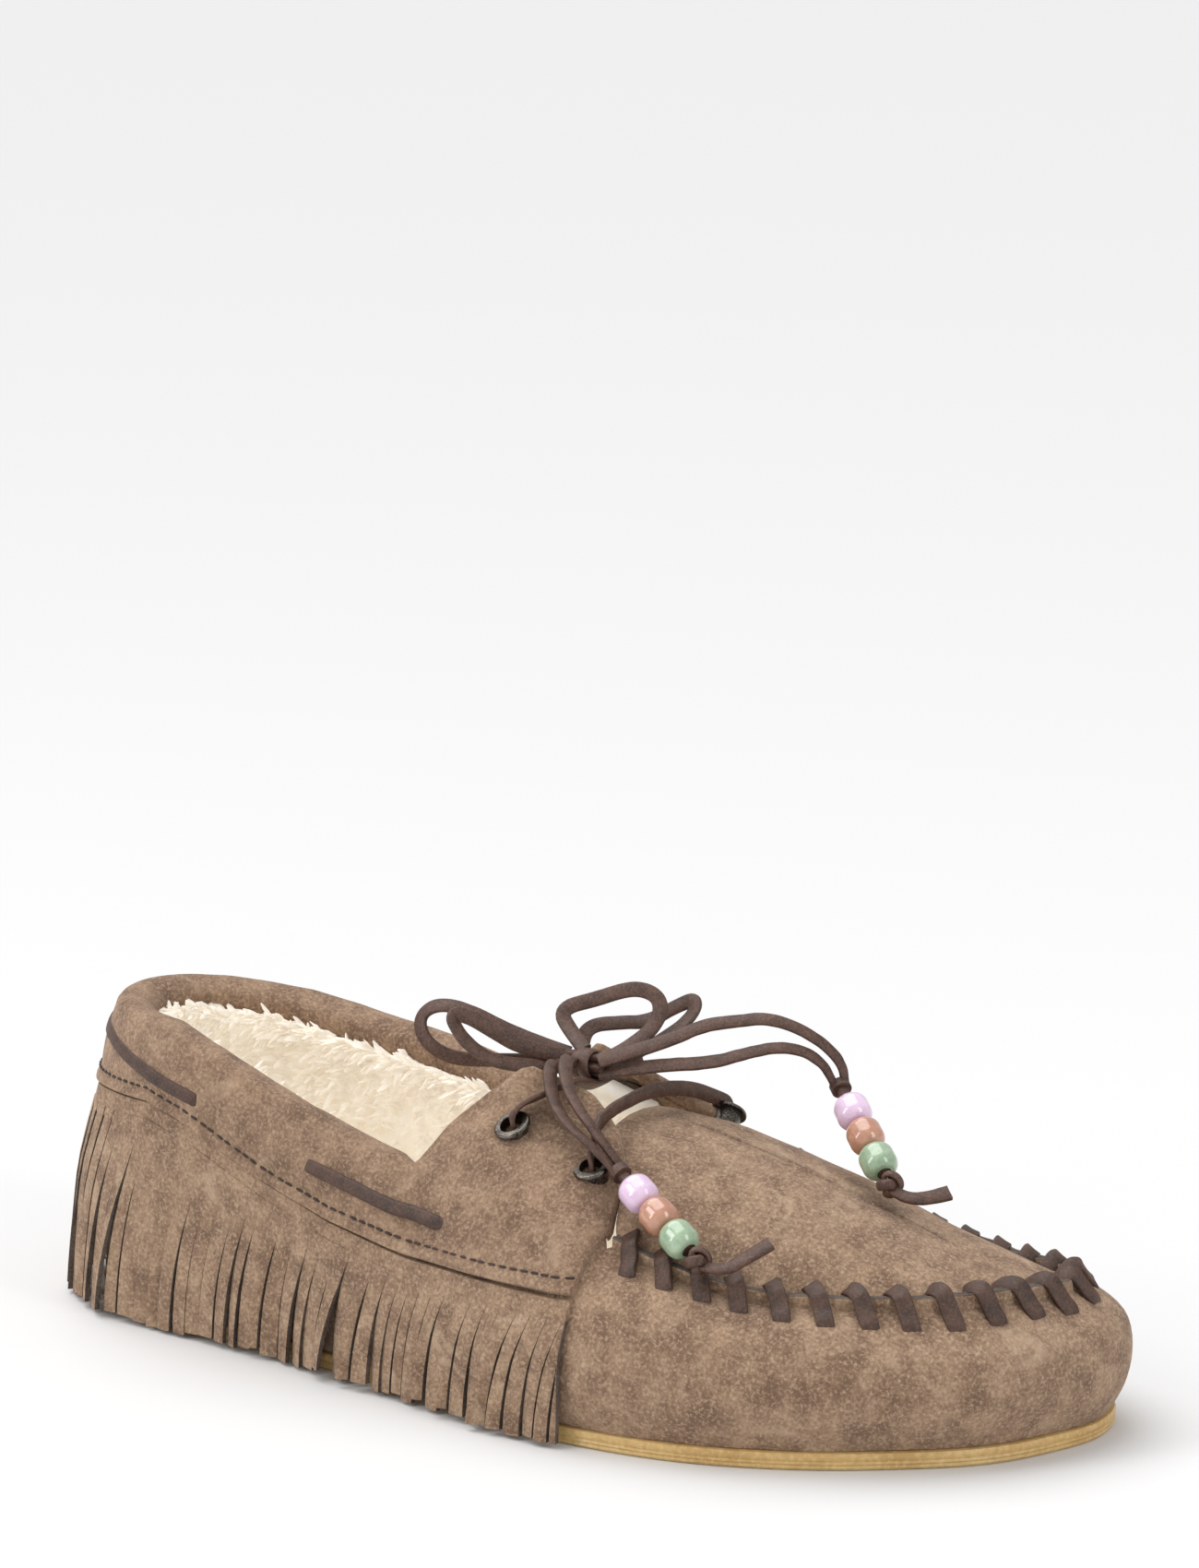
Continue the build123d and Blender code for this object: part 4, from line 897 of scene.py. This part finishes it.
def stitchPoint(s, lift=0.0):
    h = shareAt(s, between(collarEdge, outline(s)[0]) + stitch["rise"])
    return wall(s, h, 1.75 + lift)


store = newStore()
for s in evenPlaces(innerFront - turn, outerFront, stitch["pitch"], stitchPoint):
    along = (stitchPoint(s + 0.02) - stitchPoint(s - 0.02)).normalized()
    normal = (stitchPoint(s, 1) - stitchPoint(s)).normalized()
    side = along.cross(normal)
    rings = []
    for share, size in ((-0.5, 0.35), (-0.3, 0.9), (0, 1), (0.3, 0.9), (0.5, 0.35)):
        spot = stitchPoint(s, 0.12) + along * share * stitch["length"] * mm
        rings.append([spot + side * math.cos(a) * stitch["width"] / 2 * size * mm
                      + normal * math.sin(a) * stitch["height"] * size * mm for a in spread(0, math.tau * 5 / 6, 6)])
    addRings(store, rings)
makePiece("collarStitches", store, [thread], ["collar_stitching"], angle=60)
print("thong and stitches ready")

# ---- fringe: an uncut band under the collar, cut into strips to the floor
fringe = {"thickness": 1.4, "band": 5.0, "strip": (3.0, 4.8), "slant": 7.0, "lifted": 0.26}


def fringePoint(s, drop, lift=0.0):
    x = outline(s)[0]
    topZ = between(collarEdge, x) - 0.4
    heel = between([(10, 1.0), (45, 0.0)], x)
    top = local(s, shareAt(s, topZ), 0.25)[0]
    rows = [(top - 0.4, topZ + 3), (top, topZ), (max(top, 1.2) + 0.4 + 1.6 * heel, topZ * 0.62 + 1),
            (2.0 + 2.6 * heel, topZ * 0.3 + 1), (2.2 + 3.4 * heel, 0.8), (2.1 + 3.6 * heel, -4)]
    place3 = min(max(drop, 0), 0.999) * 3
    i = int(place3)
    w, z = catmull(*rows[i:i + 4], place3 - i)
    return place(s, w + lift, z)


def runAt(s):
    (x0, y0), (x1, y1) = outline(s), outline(s + 0.02)
    return math.hypot(x1 - x0, y1 - y0) / 0.02


for name, start, end, forward in (("fringe_outer", 0.02, outerFront, 1), ("fringe_inner", innerFront, turn - 0.02, -1)):
    store = newStore()
    rings = []
    for s in spread(start, end, 150):
        tall = between(collarEdge, outline(s)[0])
        drops = spread(0.0, (fringe["band"] + 1.5) / tall, 4)
        outer = [fringePoint(s, d, 1.4 + uneven(fringePoint(s, d), 9, 0.25)) for d in drops]
        inner = [fringePoint(s, d, 0.05) for d in reversed(drops)]
        rings.append(outer + inner)
    addRings(store, rings)
    s = start if forward > 0 else start
    lastLift = 0.0
    while s < end - 0.02:
        width = random.uniform(*fringe["strip"]) / runAt(s)
        s1 = min(s + width, end)
        tall = between(collarEdge, outline((s + s1) / 2)[0])
        raised = random.random() < fringe["lifted"]
        lift = random.uniform(1.2, 2.8) if raised else random.uniform(0, 0.8)
        twist = random.uniform(-1.0, 1.0) if not raised else random.choice((-1, 1)) * random.uniform(0.6, 1.4)
        sway = random.uniform(-0.5, 0.5) * (2.2 if raised else 1)
        bottom = 1 - random.uniform(0.0, 1.6) / tall - (0.03 if raised else 0)
        slant = fringe["slant"] * min(tall / 34, 1.4) * smoothStep(0, 1.8, min(s, turn - s))
        startDrop = (fringe["band"] - 0.5) / tall
        gap = 0.16 / runAt(s)
        rings = []
        for drop in spread(startDrop, bottom, 9):
            free = smoothStep(startDrop, 1.0, drop)
            shift = forward * (slant * (1 - drop) ** 2 + sway * free) / runAt(s)
            narrow = gap * min(free * 4, 1) * (2.4 if raised else 1)
            a, b = s + shift + narrow, s1 + shift - narrow
            a, b = min(max(a, start), end), min(max(b, start), end)
            if b - a < 0.004:
                b = a + 0.004
            out = 0.1 + lift * free
            ring = []
            for t in (0, 0.3, 0.7, 1):
                ring.append(fringePoint(a + (b - a) * t, drop, 1.4 + out + twist * free * (t - 0.5) * 1.6
                                        + 0.18 * math.sin(math.pi * t)))
            for t in (1, 0.5, 0):
                ring.append(fringePoint(a + (b - a) * t, drop, 0.15 + out + twist * free * (t - 0.5) * 1.6))
            rings.append(ring)
        addRings(store, rings, slots=[0, 0, 0, 1, 0, 0, 1])
        s = s1
    makePiece(name.replace("_", "Strips_"), store, [suede, cutEdge], [name], angle=40)
print("fringe ready")

# ---- fleece: pad and linings under soft tufts, all in a finish with a faint painted glow
pile = {"length": (3.0, 5.5), "width": 1.6, "tufts": 7500, "seed": 11}
store = newStore()
addRings(store, wallRings(innerFlap - turn, outerFlap, 90, lambda s: 0.06,
                          lambda s: shareBelowTop(s, between([(100, 6.0), (109, 2.0)], outline(s)[0]) + 1.2),
                          -8.8, -3.0, rows=16, rough=0.0))
rng = random.Random(pile["seed"])


def addTuft(store, root, way, droop, length, width):
    side = way.cross(Vector((rng.uniform(-1, 1), rng.uniform(-1, 1), rng.uniform(-1, 1)))).normalized()
    other = way.cross(side).normalized()
    wave = rng.uniform(-1, 1)
    phase = rng.uniform(0, 3)
    rings = []
    for i in range(5):
        t = i / 4
        point = root + way * length * t * mm + droop * length * t * t * mm
        point += side * math.sin(phase + t * 4.2) * wave * length * 0.14 * mm
        size = width * (0.9 + 0.35 * t - 0.95 * t ** 4) / 2 * mm
        rings.append([point + side * math.cos(a) * size + other * math.sin(a) * size * 0.6 for a in (0, 2.1, 4.2)])
    addRings(store, rings)


for k in range(pile["tufts"]):
    s = rng.uniform(innerFlap - turn + 0.05, outerFlap - 0.05)
    x = outline(s)[0]
    h = rng.uniform(0.35, 0.97) if x < 104 else rng.uniform(0.3, 0.9)
    if k % 3 == 0 and x < 104:
        h = rng.uniform(0.86, 1.0)
    h = min(h, shareBelowTop(s, rollSize(s)[1] * 0.35) if x < 104 else 0.9)
    root = wall(s, h, -7.0 - 1.0 * (x < 104))
    inside = (wall(s, h, -3) - wall(s, h, 0)).normalized()
    up = Vector((0, 0, 1))
    along = (Vector((*outline(s + 0.02), 0)) - Vector((*outline(s - 0.02), 0))).normalized()
    way = (inside * rng.uniform(0.15, 0.6) + up * rng.uniform(-0.2, 0.8)
           + along * rng.uniform(0.2, 0.9)).normalized()
    length = rng.uniform(*pile["length"]) * (1.0 if x < 112 else 0.62)
    addTuft(store, root, way, Vector((rng.uniform(-0.3, 0.3), rng.uniform(-0.3, 0.3), rng.uniform(-0.5, 0.1))),
            length, pile["width"] * rng.uniform(0.7, 1.3))
makePiece("heelFleece", store, [fleece], ["heel_lining"], angle=70)

store = newStore()
joinOuter, joinInner = placeOf(133.8, 5, 7), placeOf(133.8, 18, 16)
addRings(store, wallRings(joinOuter, joinInner, 90, lambda s: 0.06,
                          lambda s: between([(158, 0.5), (172, 0.75)], outline(s)[0]), -4.95, -1.75, rows=12))
makePiece("vampFleece", store, [fleece], ["vamp_lining"])

store = newStore()
rings = []
for k in range(9):
    share = 1 - k / 8.4
    ring = []
    for x, y in around:
        spineX = min(max(x, 156), 226)
        spineY = between([(140, 1.0), (190, 3.6), (230, 9.5)], spineX)
        px, py = spineX + (x - spineX) * share * 0.8, spineY + (y - spineY) * share * 0.8
        ring.append(Vector((heelX + px, middleY + py, apronHeight(px, py) - 1.9)) * mm)
    rings.append(ring)
addRings(store, [[p - Vector((0, 0, 3 * mm)) for p in ring] for ring in reversed(rings)] + rings)
makePiece("apronFleece", store, [fleece], ["apron_lining"], angle=60)

store = newStore()
rings = []
for inset, z in ((10.5, 5.7), (9.7, 6.6), (9.6, 8.5), (10.2, 10.2), (12, 11.0)):
    rings.append([place(i / 4, -inset, z) for i in range(4 * turn)])
base = [place(i / 4, -12, 11.0) for i in range(4 * turn)]
for share in (0.85, 0.7, 0.55, 0.4, 0.25, 0.12):
    ring = []
    for p in base:
        spine = Vector((min(max(p.x, -105 * mm), 100 * mm), 0, 0))
        point = Vector((spine.x + (p.x - spine.x) * share, p.y * share, p.z))
        ring.append(point + Vector((0, 0, uneven(point, 7, 1.1) * mm)))
    rings.append(ring)
addRings(store, rings)
for k in range(700):
    x, y = rng.uniform(-118, 10), rng.uniform(-19, 17)
    way = Vector((rng.uniform(-0.8, 0.8), rng.uniform(-0.8, 0.8), rng.uniform(0.5, 1))).normalized()
    addTuft(store, Vector((x, y, 9.6)) * mm, way, Vector((0, 0, -0.3)), rng.uniform(4, 7), 2.2)
makePiece("footbedFleece", store, [fleece], ["footbed"], angle=70)
print("fleece ready")

# ---- finishes of the parts that stay as they are
for name, finish in (("insole_board", board), ("heel_counter", board), ("eyelet_washers", metal),
                     ("lace_core_outer", laceLeather), ("lace_core_inner", laceLeather),
                     ("eyelet_rear_outer", metal), ("eyelet_front_outer", metal), ("eyelet_rear_inner", metal),
                     ("eyelet_front_inner", metal), ("bead_pink_outer", beadPink), ("bead_pink_inner", beadPink),
                     ("bead_tan_outer", beadTan), ("bead_tan_inner", beadTan), ("bead_green_outer", beadGreen),
                     ("bead_green_inner", beadGreen)):
    for holder in bpy.data.objects[name].material_slots:
        holder.material = finish
